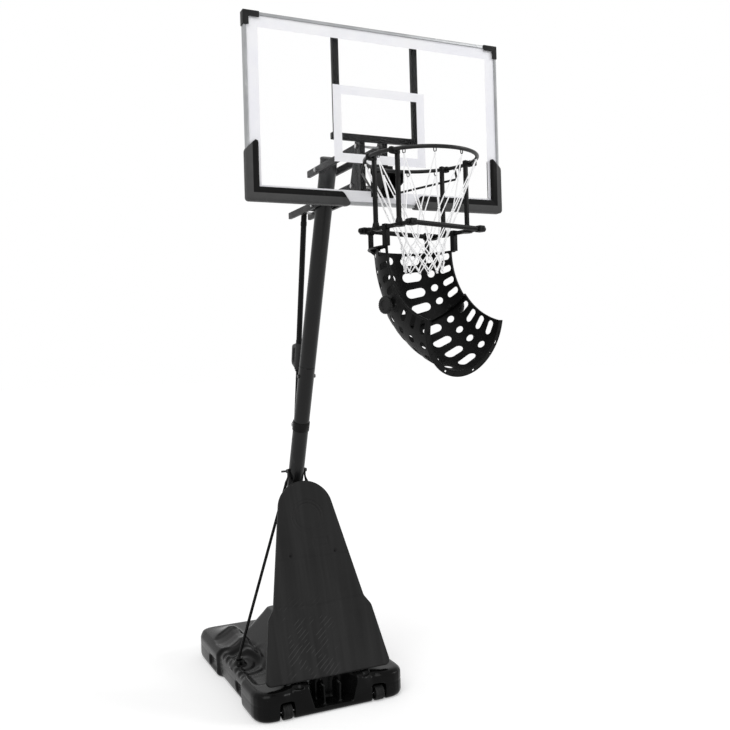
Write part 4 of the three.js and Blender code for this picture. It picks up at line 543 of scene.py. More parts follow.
# %% The cover, cord, clear board, print and pad materials
def cover_material():
    """The worn group, plus upright streaks and slanting hatch lines that only show low on the panel."""
    material = worn_material("cover_sheet", (0.0118, 0.0158, 0.050), (0.52, 0.64), 900, 0.10 * MM,
                             mottle=3.5, scratches=0.12, specular=0.10)
    tree = material.node_tree
    shader = tree.nodes["Principled BSDF"]
    vector = object_vector(tree)
    streak = noise_node(tree, vector, 26, 3.0, stretch=(1.0, 0.05, 0.05))
    parts = tree.nodes.new("ShaderNodeSeparateXYZ")
    tree.links.new(vector, parts.inputs["Vector"])
    x, z = parts.outputs["X"], parts.outputs["Z"]

    pitch, slope = 21 * MM, math.radians(38)
    patch_middle, patch_half, patch_edge = -0.09, 0.11, 0.06
    patch_top, patch_end = 0.42, 0.62
    turns = noise_node(tree, vector, 7, 1.0)
    turns = math_node(tree, "MULTIPLY_ADD", x, -math.sin(slope) / pitch, turns)
    turns = math_node(tree, "MULTIPLY_ADD", z, math.cos(slope) / pitch, turns)
    line = math_node(tree, "SINE", math_node(tree, "MULTIPLY", turns, 2 * math.pi))
    broken = step_node(tree, noise_node(tree, vector, 16, 1.0), 0.44, 0.56)
    hatch = math_node(tree, "MULTIPLY", step_node(tree, line, 0.88, 0.98), broken)
    low_down = step_node(tree, z, patch_top, patch_end, 1.0, 0.0)
    from_middle = math_node(tree, "ABSOLUTE", math_node(tree, "SUBTRACT", x, patch_middle))
    inside = step_node(tree, from_middle, patch_half, patch_half + patch_edge, 1.0, 0.0)
    hatch = math_node(tree, "MULTIPLY", math_node(tree, "MULTIPLY", hatch, low_down), inside)

    worn_colour = shader.inputs["Base Color"].links[0].from_socket
    streak_share = step_node(tree, streak, 0.35, 0.75, 0.0, 0.75)
    streaked = mix_colour(tree, streak_share, worn_colour, grey(0.022))
    hatched = mix_colour(tree, math_node(tree, "MULTIPLY", hatch, 0.6), streaked, grey(0.062))
    tree.links.new(hatched, shader.inputs["Base Color"])
    normal = shader.inputs["Normal"].links[0].from_socket
    relief = math_node(tree, "MULTIPLY_ADD", hatch, 0.5, streak)
    bump_from(tree, shader, relief, 0.25 * MM, 0.6, normal)
    return material


def cord_material():
    """Strands that wind round the cord: a sine of 3 (U / lay + V) turns, as height and as painted shade in
    the grooves; the cord also gets a faint painted glow.
    """
    material, tree, shader = new_material("net_cord")
    uv = tree.nodes.new("ShaderNodeUVMap")
    uv.uv_map = "along"
    parts = tree.nodes.new("ShaderNodeSeparateXYZ")
    tree.links.new(uv.outputs["UV"], parts.inputs["Vector"])
    lay, strands = 8.5 * MM, 3
    turns = math_node(tree, "MULTIPLY_ADD", parts.outputs["X"], 1 / lay, parts.outputs["Y"])
    strand = math_node(tree, "SINE", math_node(tree, "MULTIPLY", turns, strands * 2 * math.pi))
    height = step_node(tree, strand, -1.0, 1.0)
    fuzz = noise_node(tree, object_vector(tree), 700, 3.0)
    soil = step_node(tree, noise_node(tree, object_vector(tree), 9, 3.0), 0.4, 0.75)
    white, soiled = (0.98, 0.98, 0.985), (0.92, 0.92, 0.93)
    toned = mix_colour(tree, math_node(tree, "MULTIPLY", soil, 0.35), white, soiled)
    # Painted shade: the colour darkens in the grooves between the strands.
    groove_shaded = mix_colour(tree, step_node(tree, height, 0.0, 0.45, 0.55, 0.0), toned, (0.84, 0.84, 0.86))
    tree.links.new(groove_shaded, shader.inputs["Base Color"])
    tree.links.new(step_node(tree, fuzz, 0.3, 0.7, 0.72, 0.9), shader.inputs["Roughness"])
    both = math_node(tree, "MULTIPLY_ADD", fuzz, 0.35, height)
    bump_from(tree, shader, both, 0.35 * MM)
    shader.inputs["Sheen Weight"].default_value = 0.2
    # Painted light: a faint white glow on the cord, although it is no lamp, to make it look whiter.
    shader.inputs["Emission Color"].default_value = (1.0, 1.0, 1.0, 1.0)
    shader.inputs["Emission Strength"].default_value = 0.13
    return material


def clear_material():
    """A clear sheet: low alpha, a smooth surface, faint dust that is a little less clear."""
    material, tree, shader = new_material("clear_board")
    vector = object_vector(tree)
    dust = step_node(tree, noise_node(tree, vector, 5, 6.0), 0.45, 0.8)
    smear = step_node(tree, noise_node(tree, vector, 11, 2.0, stretch=(1.0, 1.0, 0.3)), 0.5, 0.75)
    tree.links.new(step_node(tree, dust, 0.0, 1.0, 0.008, 0.020), shader.inputs["Alpha"])
    tinted = mix_colour(tree, dust, (0.93, 0.95, 0.99), (0.98, 0.98, 1.0))
    tree.links.new(tinted, shader.inputs["Base Color"])
    tree.links.new(step_node(tree, smear, 0.0, 1.0, 0.05, 0.16), shader.inputs["Roughness"])
    bump_from(tree, shader, noise_node(tree, vector, 3, 2.0), 0.4 * MM, 0.3)
    shader.inputs["IOR"].default_value = 1.49
    shader.inputs["Specular IOR Level"].default_value = 0.12
    return material


def print_material():
    """A milky printed band, a little see-through, with a screen's fine unevenness."""
    material, tree, shader = new_material("board_print")
    vector = object_vector(tree)
    cloud = step_node(tree, noise_node(tree, vector, 7, 5.0), 0.35, 0.7)
    pin_holes = noise_node(tree, vector, 900, 2.0)
    milky = mix_colour(tree, cloud, (0.93, 0.93, 0.975), (0.97, 0.97, 0.99))
    tree.links.new(milky, shader.inputs["Base Color"])
    tree.links.new(step_node(tree, pin_holes, 0.3, 0.7, 0.80, 0.90), shader.inputs["Alpha"])
    tree.links.new(step_node(tree, cloud, 0.0, 1.0, 0.30, 0.42), shader.inputs["Roughness"])
    bump_from(tree, shader, pin_holes, 0.02 * MM)
    return material


def pad_material():
    """Two-tone rubber: grey where the point is within a strip of the board's side or bottom edge."""
    material = worn_material("pad_rubber", (0.0022, 0.0050, 0.04), (0.50, 0.66), 620, 0.14 * MM,
                             mottle=12, scratches=0.4, specular=0.10)
    tree = material.node_tree
    shader = tree.nodes["Principled BSDF"]
    parts = tree.nodes.new("ShaderNodeSeparateXYZ")
    tree.links.new(object_vector(tree), parts.inputs["Vector"])
    strip_x, strip_z, edge = 0.6125, 2.5985, 2 * MM
    from_middle = math_node(tree, "ABSOLUTE", parts.outputs["X"])
    outer = step_node(tree, from_middle, strip_x, strip_x + edge)
    below = step_node(tree, parts.outputs["Z"], strip_z, strip_z - edge, 0.0, 1.0)
    strip = math_node(tree, "MAXIMUM", outer, below)
    worn_colour = shader.inputs["Base Color"].links[0].from_socket
    cloud = noise_node(tree, object_vector(tree), 30, 4.0)
    lighter = mix_colour(tree, cloud, grey(0.058), grey(0.074))
    tree.links.new(mix_colour(tree, strip, worn_colour, lighter), shader.inputs["Base Color"])
    return material


cover_sheet = cover_material()
net_cord = cord_material()
clear_board = clear_material()
board_print = print_material()
pad_rubber = pad_material()
print("materials:", len(bpy.data.materials))

# %% [markdown]
# ## Poles, rods and tubes
# The pole is two steel tubes, one pushed into the other, which lean forward over the court. Four rods
# brace it: two from the sides of the tank, and two behind the cover. A turned or swept surface with
# many sides replaces each faceted CAD tube on the same axis, so bolts and brackets still fit.

# %% Where the pole leans
POLE_LEAN = math.radians(20.22)
POLE_FOOT_Y = 0.323
POLE_RADIUS, POLE_WALL = 45 * MM, 2.5 * MM


def on_pole(height):
    """The pole's axis at a height: y falls by the height times the lean's tangent."""
    return np.array([0.0, POLE_FOOT_Y - height * math.tan(POLE_LEAN), height])


POLE_BOTTOM, JOINT_HEIGHT, POLE_TOP = 0.064, 1.840, 2.912
SWAGE_BOTTOM, SWAGE_TOP = 1.720, JOINT_HEIGHT + 30 * MM
POLE_SIDES, POLE_ROUNDING, JOINT_GAP = 96, 1.2 * MM, 0.8 * MM
up_pole = unit(on_pole(1) - on_pole(0))
inner_radius = POLE_RADIUS - POLE_WALL
lower_end = on_pole(JOINT_HEIGHT) - up_pole * JOINT_GAP
upper_start = on_pole(JOINT_HEIGHT) + up_pole * JOINT_GAP
lower_pole = pipe(on_pole(POLE_BOTTOM), lower_end, POLE_RADIUS, inner_radius, POLE_SIDES, POLE_ROUNDING)
upper_pole = joined([
    pipe(upper_start, on_pole(POLE_TOP), POLE_RADIUS, inner_radius, POLE_SIDES, POLE_ROUNDING),
    pipe(on_pole(SWAGE_BOTTOM), on_pole(SWAGE_TOP), inner_radius - 0.4 * MM, inner_radius - POLE_WALL,
         POLE_SIDES),
])
add_piece("pole_lower_tube", lower_pole, "stand", pole_coat, ["pole_lower"])
add_piece("pole_upper_tube", upper_pole, "stand", pole_coat, ["pole_upper"])

cap_radius, cap_height = 47 * MM, 14 * MM
plug_radius, plug_depth = inner_radius - 0.8 * MM, 20 * MM
dome = np.linspace(0, math.pi / 2, 12)
cap_profile = [(0, -plug_depth), (plug_radius, -plug_depth), (plug_radius, 0), (cap_radius, 0)]
cap_profile += [
    (cap_radius * (0.72 + 0.28 * math.cos(a)), cap_height * (0.45 + 0.55 * math.sin(a))) for a in dome
]
cap_profile.append((0, cap_height))
add_piece("pole_top_cap", lathe(cap_profile, on_pole(POLE_TOP) + up_pole * 0.3 * MM, up_pole, 64),
          "stand", cap_plastic, ["pole_cap"])

# %% [markdown]
# The pole has a row of small holes through it, for other heights of the brace. A hole that is only seen
# as a dark spot is given painted shade: a thin, dark recessed disc, a flat dish a little wider than the
# hole.

# %% Dark discs as painted shade in the pole's holes
HOLE_HEIGHTS = (1.424, 1.466, 1.900)
hole_shade_profile = [(0, -1.5 * MM), (6 * MM, -1.5 * MM), (6 * MM, 0.6 * MM), (5 * MM, 1.0 * MM),
                 (4.2 * MM, 0.4 * MM), (0, 0.2 * MM)]
hole_shade_discs = []
for height in HOLE_HEIGHTS:
    for side in (-1, 1):
        out = np.array([side, 0.0, 0.0])
        hole_shade_discs.append(lathe(hole_shade_profile, on_pole(height) + out * (POLE_RADIUS - 0.1 * MM), out, 24))
# Painted shade: dark discs stand where the holes show only the shade inside them.
add_piece("pole_hole_shade_discs", joined(hole_shade_discs), "stand", dark_bolt)

# %% [markdown]
# A brace is a round rod whose top end is pressed flat, with the bolt through the flat. The rod is a
# tube whose section goes from a flat oval to a circle: rings along a path, each with a half width and a
# half thickness of its own, eased from one to the other.

# %% Braces with flattened ends
ROD_RADIUS, LUG_HALF_THICKNESS, LUG_HALF_WIDTH, ROD_SIDES = 9 * MM, 2.25 * MM, 13 * MM, 28
FLAT_UNTIL, ROUND_FROM, TIP_REACH = 30 * MM, 75 * MM, 13.2 * MM
BRACE_POINT = on_pole(1.230)
# The deck's height, and the feet on the right half of the tank.
DECK_HEIGHT, PAD_HEIGHT = 0.1653, 5 * MM
SIDE_FOOT = np.array([0.368, -0.093, DECK_HEIGHT + 16 * MM])
STRUT_FOOT = np.array([0.244, -0.519, DECK_HEIGHT])


def eased(share):
    """3 s^2 - 2 s^3, which starts and ends level."""
    share = np.clip(share, 0, 1)
    return share * share * (3 - 2 * share)


def flattened_rod(lug_x, foot, shift_out):
    """Rings from past the bolt down to the foot; flat until 30 mm below the bolt, round from 75 mm."""
    down = unit(np.array([0, foot[1] - BRACE_POINT[1], foot[2] - BRACE_POINT[2]]))
    wide = np.array([0, down[2], -down[1]])
    distance = np.concatenate([
        np.array([-13, -12.4, -10.8, -8, -4, 0, 8, 16, 24, 30]) * MM, np.linspace(36, 75, 10) * MM,
    ])
    lug = np.array([lug_x, BRACE_POINT[1], BRACE_POINT[2]])
    path = lug + distance[:, None] * down
    blend = eased((distance - FLAT_UNTIL) / (ROUND_FROM - FLAT_UNTIL))
    path[:, 0] += math.copysign(1, lug_x) * shift_out * blend
    path = np.concatenate([path, [foot]])
    blend = np.append(blend, 1.0)
    past_bolt = np.minimum(np.append(distance, 1), 0) / TIP_REACH
    tip = np.sqrt(np.clip(1 - past_bolt**2, 0.02, 1))
    thin = LUG_HALF_THICKNESS + (ROD_RADIUS - LUG_HALF_THICKNESS) * blend
    broad = (LUG_HALF_WIDTH + (ROD_RADIUS - LUG_HALF_WIDTH) * blend) * tip
    angle = np.arange(ROD_SIDES) / ROD_SIDES * 2 * math.pi
    flat = np.sign(np.cos(angle)) * np.abs(np.cos(angle)) ** 0.6
    section = (1 - blend)[:, None] * flat + blend[:, None] * np.cos(angle)
    rings = (
        path[:, None]
        + (thin[:, None] * section)[..., None] * np.array([1.0, 0, 0])
        + (broad[:, None] * np.sin(angle))[..., None] * wide
    )
    return ring_shell(rings)


def brace(lug_x, foot, shift_out):
    """The rod, a foot pad with a rounded edge, and a small weld collar where they meet."""
    pad = [(0, 0), (22.8 * MM, 0), (24 * MM, 1.0 * MM), (24 * MM, 4.0 * MM), (23 * MM, PAD_HEIGHT),
           (0, PAD_HEIGHT)]
    collar = [(0, 3 * MM), (14 * MM, 3 * MM), (11 * MM, 7 * MM), (9 * MM, 14 * MM), (0, 14 * MM)]
    return joined([
        flattened_rod(lug_x, foot + (0, 0, PAD_HEIGHT), shift_out),
        lathe(pad, foot, (0, 0, 1), 40),
        lathe(collar, foot, (0, 0, 1), 32),
    ])


for name, side in (("left", -1), ("right", 1)):
    add_piece("side_brace_rod_" + name, brace(side * 52.35 * MM, SIDE_FOOT * (side, 1, 1), 13.5 * MM),
              "stand", black_coat, ["side_brace_" + name])
    add_piece("front_strut_rod_" + name, brace(side * 47.55 * MM, STRUT_FOOT * (side, 1, 1), 4.5 * MM),
              "stand", black_coat, ["front_strut_" + name])
print("braces: 4")

# %% [markdown]
# ## The lift strut
# A rod slides in a tube behind the pole. Squeezing the grip's trigger frees the rod, and the board goes
# up or down. The tube rides with the grip and the rod stays with the pole, so they are separate pieces.

# %% The strut's rod and tube
STRUT_ANCHOR = np.array([0, -0.1415, 1.500])
STRUT_HEAD = np.array([0, -0.3738, 2.700])
ROD_SPAN, TUBE_START, COLLARS = (12 * MM, 0.880), 0.318, ((0.480, 0.500), (1.150, 1.172))
EYE_RADIUS, EYE_HALF, EYE_BORE, EYE_ROUNDING = 17 * MM, 12 * MM, 6.8 * MM, 1.2 * MM
up_strut = unit(STRUT_HEAD - STRUT_ANCHOR)
strut_span = np.linalg.norm(STRUT_HEAD - STRUT_ANCHOR)


def on_strut(rise):
    """The strut's axis at a distance from its lower pin."""
    return STRUT_ANCHOR + up_strut * rise


def eye(centre):
    """A ring for a pin that lies along X: its wall's rounded section, turned about X."""
    r, h, e = EYE_RADIUS, EYE_HALF, EYE_ROUNDING
    section = [(r - e, -h), (r, -h + e), (r, h - e), (r - e, h), (EYE_BORE, h), (EYE_BORE, -h)]
    return lathe(section, centre, (1, 0, 0), 40, closed=True)


rod_start, rod_end = (on_strut(rise) for rise in ROD_SPAN)
rod_shell = joined([rod(rod_start, rod_end, 11 * MM, 2 * MM, 40), eye(STRUT_ANCHOR)])
add_piece("strut_inner_rod", rod_shell, "stand", black_coat, ["strut_rod"])
tube_shell = joined([
    pipe(on_strut(TUBE_START), on_strut(strut_span - 14 * MM), 16 * MM, 11.5 * MM, 48),
    *(pipe(on_strut(start), on_strut(end), 17.6 * MM, 15 * MM, 48, 2 * MM) for start, end in COLLARS),
    eye(STRUT_HEAD),
])
add_piece("strut_outer_tube", tube_shell, "strut_slider", arm_coat, ["strut_tube"])
print("strut length:", round(strut_span, 3), "m")

# %% [markdown]
# ## Arms and bars of rectangular tube
# The board hangs on four arms of rectangular steel tube, which keep it upright as it goes up. Such tube
# has round corners, so each bar is a box whose edges are quarter circles. A plug closes each arm's ends.

# %% Lift arms, uprights and cross bar
ARM_SIDES, ARM_ROUNDING = (48 * MM, 68 * MM), 4 * MM
PLUG_REACH, PLUG_INSET = np.array([0, 3 * MM, 0]), np.array([1.2 * MM, 0, 1.2 * MM])
# Two opposite corners of each arm's side view, as (y, z).
LOWER_ARM = ((-1.2076, 2.672), (-0.2998, 2.708))
UPPER_ARM = ((-1.2711, 2.844), (-0.6031, 2.880))


def plugged_arm(side, corners):
    """A rectangular tube along Y, with a slightly smaller plug standing out of each end."""
    x_low, x_high = sorted(side * x for x in ARM_SIDES)
    low, high = np.array([x_low, *corners[0]]), np.array([x_high, *corners[1]])
    return joined([rounded_box(low + PLUG_REACH, high - PLUG_REACH, ARM_ROUNDING),
                   rounded_box(low + PLUG_INSET, high - PLUG_INSET, ARM_ROUNDING)])


for name, side in (("left", -1), ("right", 1)):
    add_piece("lift_arm_lower_" + name, plugged_arm(side, LOWER_ARM), "lower_arms",
              arm_coat, ["lower_arm_" + name])
    add_piece("lift_arm_upper_" + name, plugged_arm(side, UPPER_ARM), "upper_arms",
              arm_coat, ["upper_arm_" + name])
    low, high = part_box("rear_upright_" + name)
    add_piece("board_upright_" + name, rounded_box(low, high, 3 * MM), "board", black_coat,
              ["rear_upright_" + name])
low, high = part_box("cross_bar")
add_piece("board_cross_bar", rounded_box(low, high, 3 * MM), "board", black_coat,
          ["cross_bar"])
low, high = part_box("lower_arm_spacer")
spacer_y, spacer_z = (low[1] + high[1]) / 2, (low[2] + high[2]) / 2
spacer = pipe((low[0], spacer_y, spacer_z), (high[0], spacer_y, spacer_z), 9 * MM, 6 * MM, 32)
add_piece("arm_spacer_tube", spacer, "lower_arms", cap_plastic, ["lower_arm_spacer"])

# %% [markdown]
# The brackets, the clamp band, the grip and its trigger already have the right shape in CAD. Each is
# copied and its edges are rounded. Bolts keep their CAD shape and only get a finish: most are plated,
# and those of the pole and the cover are dark.

# %% Brackets, grip and bolts
def give_finish(node, material):
    """Gives a CAD part that keeps its shape a new material."""
    NODES[node].data.materials.clear()
    NODES[node].data.materials.append(material)


for node, width in (("board_bracket_left", 1.2), ("board_bracket_right", 1.2), ("strut_bracket", 0.8)):
    softened(node, black_coat, width * MM)
softened("grip_handle", grip_plastic, 2.5 * MM, 3)
softened("grip_trigger", grip_plastic, 1.0 * MM)
for node in ("strut_anchor_bolt", "upper_pivot_bolt", "lower_pivot_bolt", "strut_head_pin",
             "carrier_upper_bolt", "carrier_lower_bolt", "wheel_axle_left", "wheel_axle_right"):
    give_finish(node, zinc_plate)
for node in ("pole_joint_bolt", "brace_bolt"):
    give_finish(node, dark_bolt)
for node in ("cover_screw_left", "cover_screw_right"):
    give_finish(node, black_coat)
print("bolts finished")

# %% [markdown]
# ## The board
# The board is one clear sheet in an aluminium channel, with black corner caps and rubber pads along the
# lower corners. The white border and the target are printed bands, so each is a thin frame that lies
# just in front of the sheet.

# %% Clear sheet, edge, caps and pads
give_finish("board_panel", clear_board)
for node in ("frame_top", "frame_right", "frame_bottom", "frame_left"):
    softened(node, edge_aluminium, 1.0 * MM)
for side in ("left", "right"):
    softened("corner_cap_" + side, cap_plastic, 1.5 * MM, 3)
    softened("corner_pad_" + side, pad_rubber, 2.0 * MM, 3)

# %% Printed bands
PRINT_FRONT, PRINT_THICKNESS = -1.3584, 0.3 * MM


def printed_frame(x_half, z_low, z_high, band):
    """A flat band round a rectangle: a ring of four corners, each with an outer and an inner edge."""
    corners = np.array([(-x_half, z_low), (x_half, z_low), (x_half, z_high), (-x_half, z_high)], float)
    inward = np.array([(1, 1), (-1, 1), (-1, -1), (1, -1)]) * band
    front, back = PRINT_FRONT, PRINT_FRONT + PRINT_THICKNESS
    rings = []
    for outer, inner in zip(corners, corners + inward):
        rings.append([(outer[0], front, outer[1]), (inner[0], front, inner[1]),
                      (inner[0], back, inner[1]), (outer[0], back, outer[1])])
    return ring_shell(np.array(rings), closed_rows=True)


BORDER_BAND, TARGET_BAND = 0.050, 0.040
# Each band's outer edge is its half width, its bottom and its top.
border = printed_frame(0.6218, 2.5834, 3.3567, BORDER_BAND)
target = printed_frame(0.2305, 2.758, 3.101, TARGET_BAND)
add_piece("printed_border", joined([border, target]), "board", board_print, crease=20)
print("printed bands:", BORDER_BAND, TARGET_BAND)

# %% [markdown]
# ## Rim, hooks and braces
# The ring is a steel rod bent into a circle. Twelve wire hooks under it hold the net, and two bent rods
# brace it to the foot of its bracket. Every one of them is a round tube along a curve.

# %% Rim ring
RIM_CENTRE = np.array([0, -1.7245, 2.700])
RIM_RADIUS, RIM_TUBE = 233 * MM, 8 * MM
HOOKS = 12
HOOK_START = math.radians(15)


def on_rim(angle, radius=RIM_RADIUS, drop=0.0):
    """A point round the rim's centre at an angle, at a distance out and a drop below."""
    angle, radius, drop = np.broadcast_arrays(np.asarray(angle, float), radius, drop)
    return RIM_CENTRE + np.stack([radius * np.cos(angle), radius * np.sin(angle), -drop], -1)


RIM_STEPS, RIM_SIDES = 144, 20
around = np.arange(RIM_STEPS) / RIM_STEPS * 2 * math.pi
section_angle = np.arange(RIM_SIDES) / RIM_SIDES * 2 * math.pi
ring_points = on_rim(
    around[:, None], RIM_RADIUS + RIM_TUBE * np.cos(section_angle), RIM_TUBE * np.sin(-section_angle),
)[:, ::-1]
rim_shells = [(ring_points.reshape(-1, 3), grid_faces(RIM_STEPS, RIM_SIDES, closed_rows=True))]
HOOK_HALF, HOOK_HIGH, HOOK_LOW, HOOK_WIRE = 5 * MM, 5 * MM, 21 * MM, 2 * MM
for i in range(HOOKS):
    angle = HOOK_START + i / HOOKS * 2 * math.pi
    tangent = np.array([-math.sin(angle), math.cos(angle), 0])
    bend = np.linspace(0, math.pi, 9)
    low = np.stack([-HOOK_HALF * np.cos(bend), -(HOOK_LOW - HOOK_HALF) - HOOK_HALF * np.sin(bend)], -1)
    loop = np.concatenate([[(-HOOK_HALF, -HOOK_HIGH)], low, [(HOOK_HALF, -HOOK_HIGH)]])
    path = on_rim(angle) + loop[:, :1] * tangent + loop[:, 1:] * np.array([0, 0, 1.0])
    rim_shells.append(along_curve(smooth_curve(path, 2), HOOK_WIRE, 10))
BRACE_START, BRACE_END = math.radians(22), np.array([0.0473, -1.3691, 2.6230])
KNEE_OUT, KNEE_DROP = 15 * MM, 48 * MM
BRACE_RADIUS, BEAD_RADIUS, BEAD_STEPS = 5 * MM, 1.6 * MM, 20
for side in (-1, 1):
    start_angle = BRACE_START if side > 0 else math.pi - BRACE_START
    start = on_rim(start_angle)
    knee = on_rim(start_angle, RIM_RADIUS + KNEE_OUT, KNEE_DROP)
    end = BRACE_END * (side, 1, 1)
    bend = [knee + (start - knee) * share for share in (0.45, 0.2)]
    bend += [knee * 0.985 + ((start + end) / 2) * 0.015]
    bend += [knee + (end - knee) * share for share in (0.08, 0.2)]
    path = np.concatenate([[start], bend, [knee + (end - knee) * 0.6, end]])
    rim_shells.append(along_curve(smooth_curve(path, 6), BRACE_RADIUS, 16))
    bead_angle = np.linspace(0, 2 * math.pi, BEAD_STEPS, endpoint=False)
    bead_circle = np.stack([np.cos(bead_angle), np.sin(bead_angle), np.zeros(BEAD_STEPS)], -1)
    weld = start - (0, 0, 6.5 * MM) + 5.5 * MM * bead_circle
    rim_shells.append(along_curve(weld, BEAD_RADIUS, 8, closed=True))
add_piece("rim_ring_and_hooks", joined(rim_shells), "board", rim_coat, ["rim_ring"],
          crease=50)
softened("rim_bracket", black_coat, 1.5 * MM)
print("hooks:", HOOKS)

# %% [markdown]
# ## The net
# Two cords leave each hook and run round the net in opposite directions, and they are knotted where
# they cross. The long upper cords hang nearly straight, and the short lower cells are pulled in to a
# narrow tube. The rows give a drop and a radius, and each cord is a smooth curve through them with the
# angle growing by half a hook's pitch at each row.

# %% Net cords and knots
NET_CORD, NET_KNOT = 2.6 * MM, 4.2 * MM
row_drop = np.array([25.4, 225, 335, 369, 401, 433, 464]) * MM
row_radius = np.array([233, 143, 96, 89, 84, 81, 79]) * MM
LAST_ROW = len(row_drop) - 1
CORD_SIDES = 8
KNOT_TURNS, KNOT_STEPS = 1.2, 15
points, faces, uvs = [], [], []


def add_cord(path, radius, start_count):
    """A cord's tube, its faces, and for each face corner its length along and its turn round."""
    shell_points, shell_faces = along_curve(path, radius, CORD_SIDES)
    length = np.concatenate([[0], np.cumsum(np.linalg.norm(np.diff(path, axis=0), axis=1))])
    rows = len(path)
    for face in shell_faces:
        faces.append([start_count + k for k in face])
        if len(face) == 4:
            row, column = divmod(face[0], CORD_SIDES)
            v0, v1 = column / CORD_SIDES, (column + 1) / CORD_SIDES
            uvs.extend([(length[row], v0), (length[row], v1), (length[row + 1], v1), (length[row + 1], v0)])
        else:
            row = 0 if face[0] == rows * CORD_SIDES else rows - 1
            uvs.extend([(length[row], 0.5), (length[row], 0.0), (length[row], 1.0)])
    points.append(shell_points)
    return start_count + len(shell_points)


count = 0
spin = np.random.default_rng(7)
sway = spin.normal(0, 1.6 * MM, (len(row_drop), 2 * HOOKS, 3))
for i in range(HOOKS):
    for direction in (-1, 1):
        rows = np.arange(len(row_drop))
        half_steps = (2 * i + direction * rows) % (2 * HOOKS)
        turn = HOOK_START + (i + direction * rows / 2) / HOOKS * 2 * math.pi
        knots = on_rim(turn, row_radius, row_drop)
        knots = knots + sway[rows, half_steps] * (rows > 0)[:, None]
        cross_out = unit(knots - RIM_CENTRE) * (1, 1, 0)
        knots = knots + cross_out * direction * 1.5 * MM * ((rows > 0) & (rows < LAST_ROW))[:, None]
        sag = smooth_curve(knots, 9)
        count = add_cord(sag, NET_CORD, count)
for row in range(len(row_drop)):
    for half_step in range(2 * HOOKS):
        if (half_step - row) % 2:
            continue
        angle = HOOK_START + half_step / (2 * HOOKS) * 2 * math.pi
        centre = on_rim(angle, row_radius[row], row_drop[row])
        centre = centre + sway[row, half_step] * (row > 0)
        out = np.array([math.cos(angle), math.sin(angle), 0])
        side_way = np.array([-math.sin(angle), math.cos(angle), 0])
        a = np.linspace(0, KNOT_TURNS * 2 * math.pi, KNOT_STEPS)
        size = NET_KNOT * (1.15 if row else 0.9)
        coil = (centre + size * 0.62 * (np.cos(a)[:, None] * side_way + np.sin(a)[:, None] * out)
                + np.linspace(-0.6, 0.6, KNOT_STEPS)[:, None] * size * np.array([0, 0, 1.0]))
        count = add_cord(coil, NET_CORD * 0.95, count)
add_piece("net_cords", (np.concatenate(points), faces), "board", net_cord, ["net"],
          crease=80, uv=uvs)
print("net faces:", len(faces))

# %% [markdown]
# ## The hanger of the return chute
# The chute hangs from the rim on four square bars with clamp heads on the ring. A rail joins the bars on
# each side, and a cross tube joins the rails front and back. The whole return system is turned a
# little about the rim's axis, so its parts are made in a frame of their own and then turned.

# %% Hanger bars, rails and cross tubes
RETURN_TURN = math.radians(15)
return_frame = np.eye(4)
return_frame[:2, :2] = [[math.cos(RETURN_TURN), -math.sin(RETURN_TURN)],
                        [math.sin(RETURN_TURN), math.cos(RETURN_TURN)]]
return_frame[:3, 3] = RIM_CENTRE
RAIL_X, RAIL_Z, BAR, HEAD, TUBE_Y, BAR_Y = 0.195, -0.292, 16 * MM, 26 * MM, 0.142, 0.070
RING_X = math.sqrt(RIM_RADIUS**2 - BAR_Y**2)
TUBE_END = RAIL_X + 28 * MM
# A bar's flared foot, as (radius, height above the rail's axis).
BAR_FOOT = [(0, -8 * MM), (22.6 * MM, -8 * MM), (22.6 * MM, 2 * MM), (16 * MM, 6 * MM),
            (12.5 * MM, 22 * MM), (11 * MM, 26 * MM), (0, 26 * MM)]


def box_at(centre, size, rounding):
    """A rounded box from its middle and its three sizes."""
    centre, size = np.array(centre, float), np.array(size, float)
    return rounded_box(centre - size / 2, centre + size / 2, rounding)


def hanger(side):
    """Two bars with heads and flared feet, the rail, and the two blocks round the cross tubes."""
    x = side * RAIL_X
    rail_end = TUBE_Y + 17 * MM
    arm_x, arm_length = side * (RAIL_X + RING_X) / 2, RING_X - RAIL_X + 8 * MM
    shells = [box_at((x, 0, RAIL_Z), (BAR, 2 * rail_end, BAR), 3 * MM)]
    for end in (-1, 1):
        y = end * BAR_Y
        shells += [
            box_at((x, y, RAIL_Z / 2), (BAR, BAR, -RAIL_Z), 2.5 * MM),
            box_at((x, y, -4 * MM), (19 * MM, 19 * MM, 24 * MM), 4 * MM),
            box_at((arm_x, y, -12 * MM), (arm_length, 15 * MM, 9 * MM), 3 * MM),
            box_at((side * (RING_X + 2.5 * MM), y, -2 * MM), (21 * MM, 20 * MM, 26 * MM), 6 * MM),
            box_at((x, end * TUBE_Y, RAIL_Z), (34 * MM, 34 * MM, 27 * MM), 5 * MM),
            lathe(BAR_FOOT, (x, y, RAIL_Z), (0, 0, 1), 32),
        ]
    return joined(shells)


def cross_tube(y):
    """A round tube across both rails, with a plug in each end."""
    shells = [pipe((-TUBE_END, y, RAIL_Z), (TUBE_END, y, RAIL_Z), 10 * MM, 8 * MM, 36)]
    for side in (-1, 1):
        plug_start = (side * (TUBE_END - 12 * MM), y, RAIL_Z)
        plug_end = (side * (TUBE_END - 0.2 * MM), y, RAIL_Z)
        shells.append(rod(plug_start, plug_end, 8.2 * MM, 2 * MM))
    return joined(shells)


for name, side in (("left", -1), ("right", 1)):
    add_piece("hanger_frame_" + name, moved(hanger(side), return_frame), "board", black_coat,
              ["hanger_" + name])
for name, end in (("front", -1), ("rear", 1)):
    add_piece("hanger_tube_" + name, moved(cross_tube(end * TUBE_Y), return_frame), "board",
              black_coat, ["cross_tube_" + name])

# %% [markdown]
# A small star knob tightens one clamp head on the rim. Its outline is a circle whose radius swells six
# times: r (1 + 0.10 cos 6a).

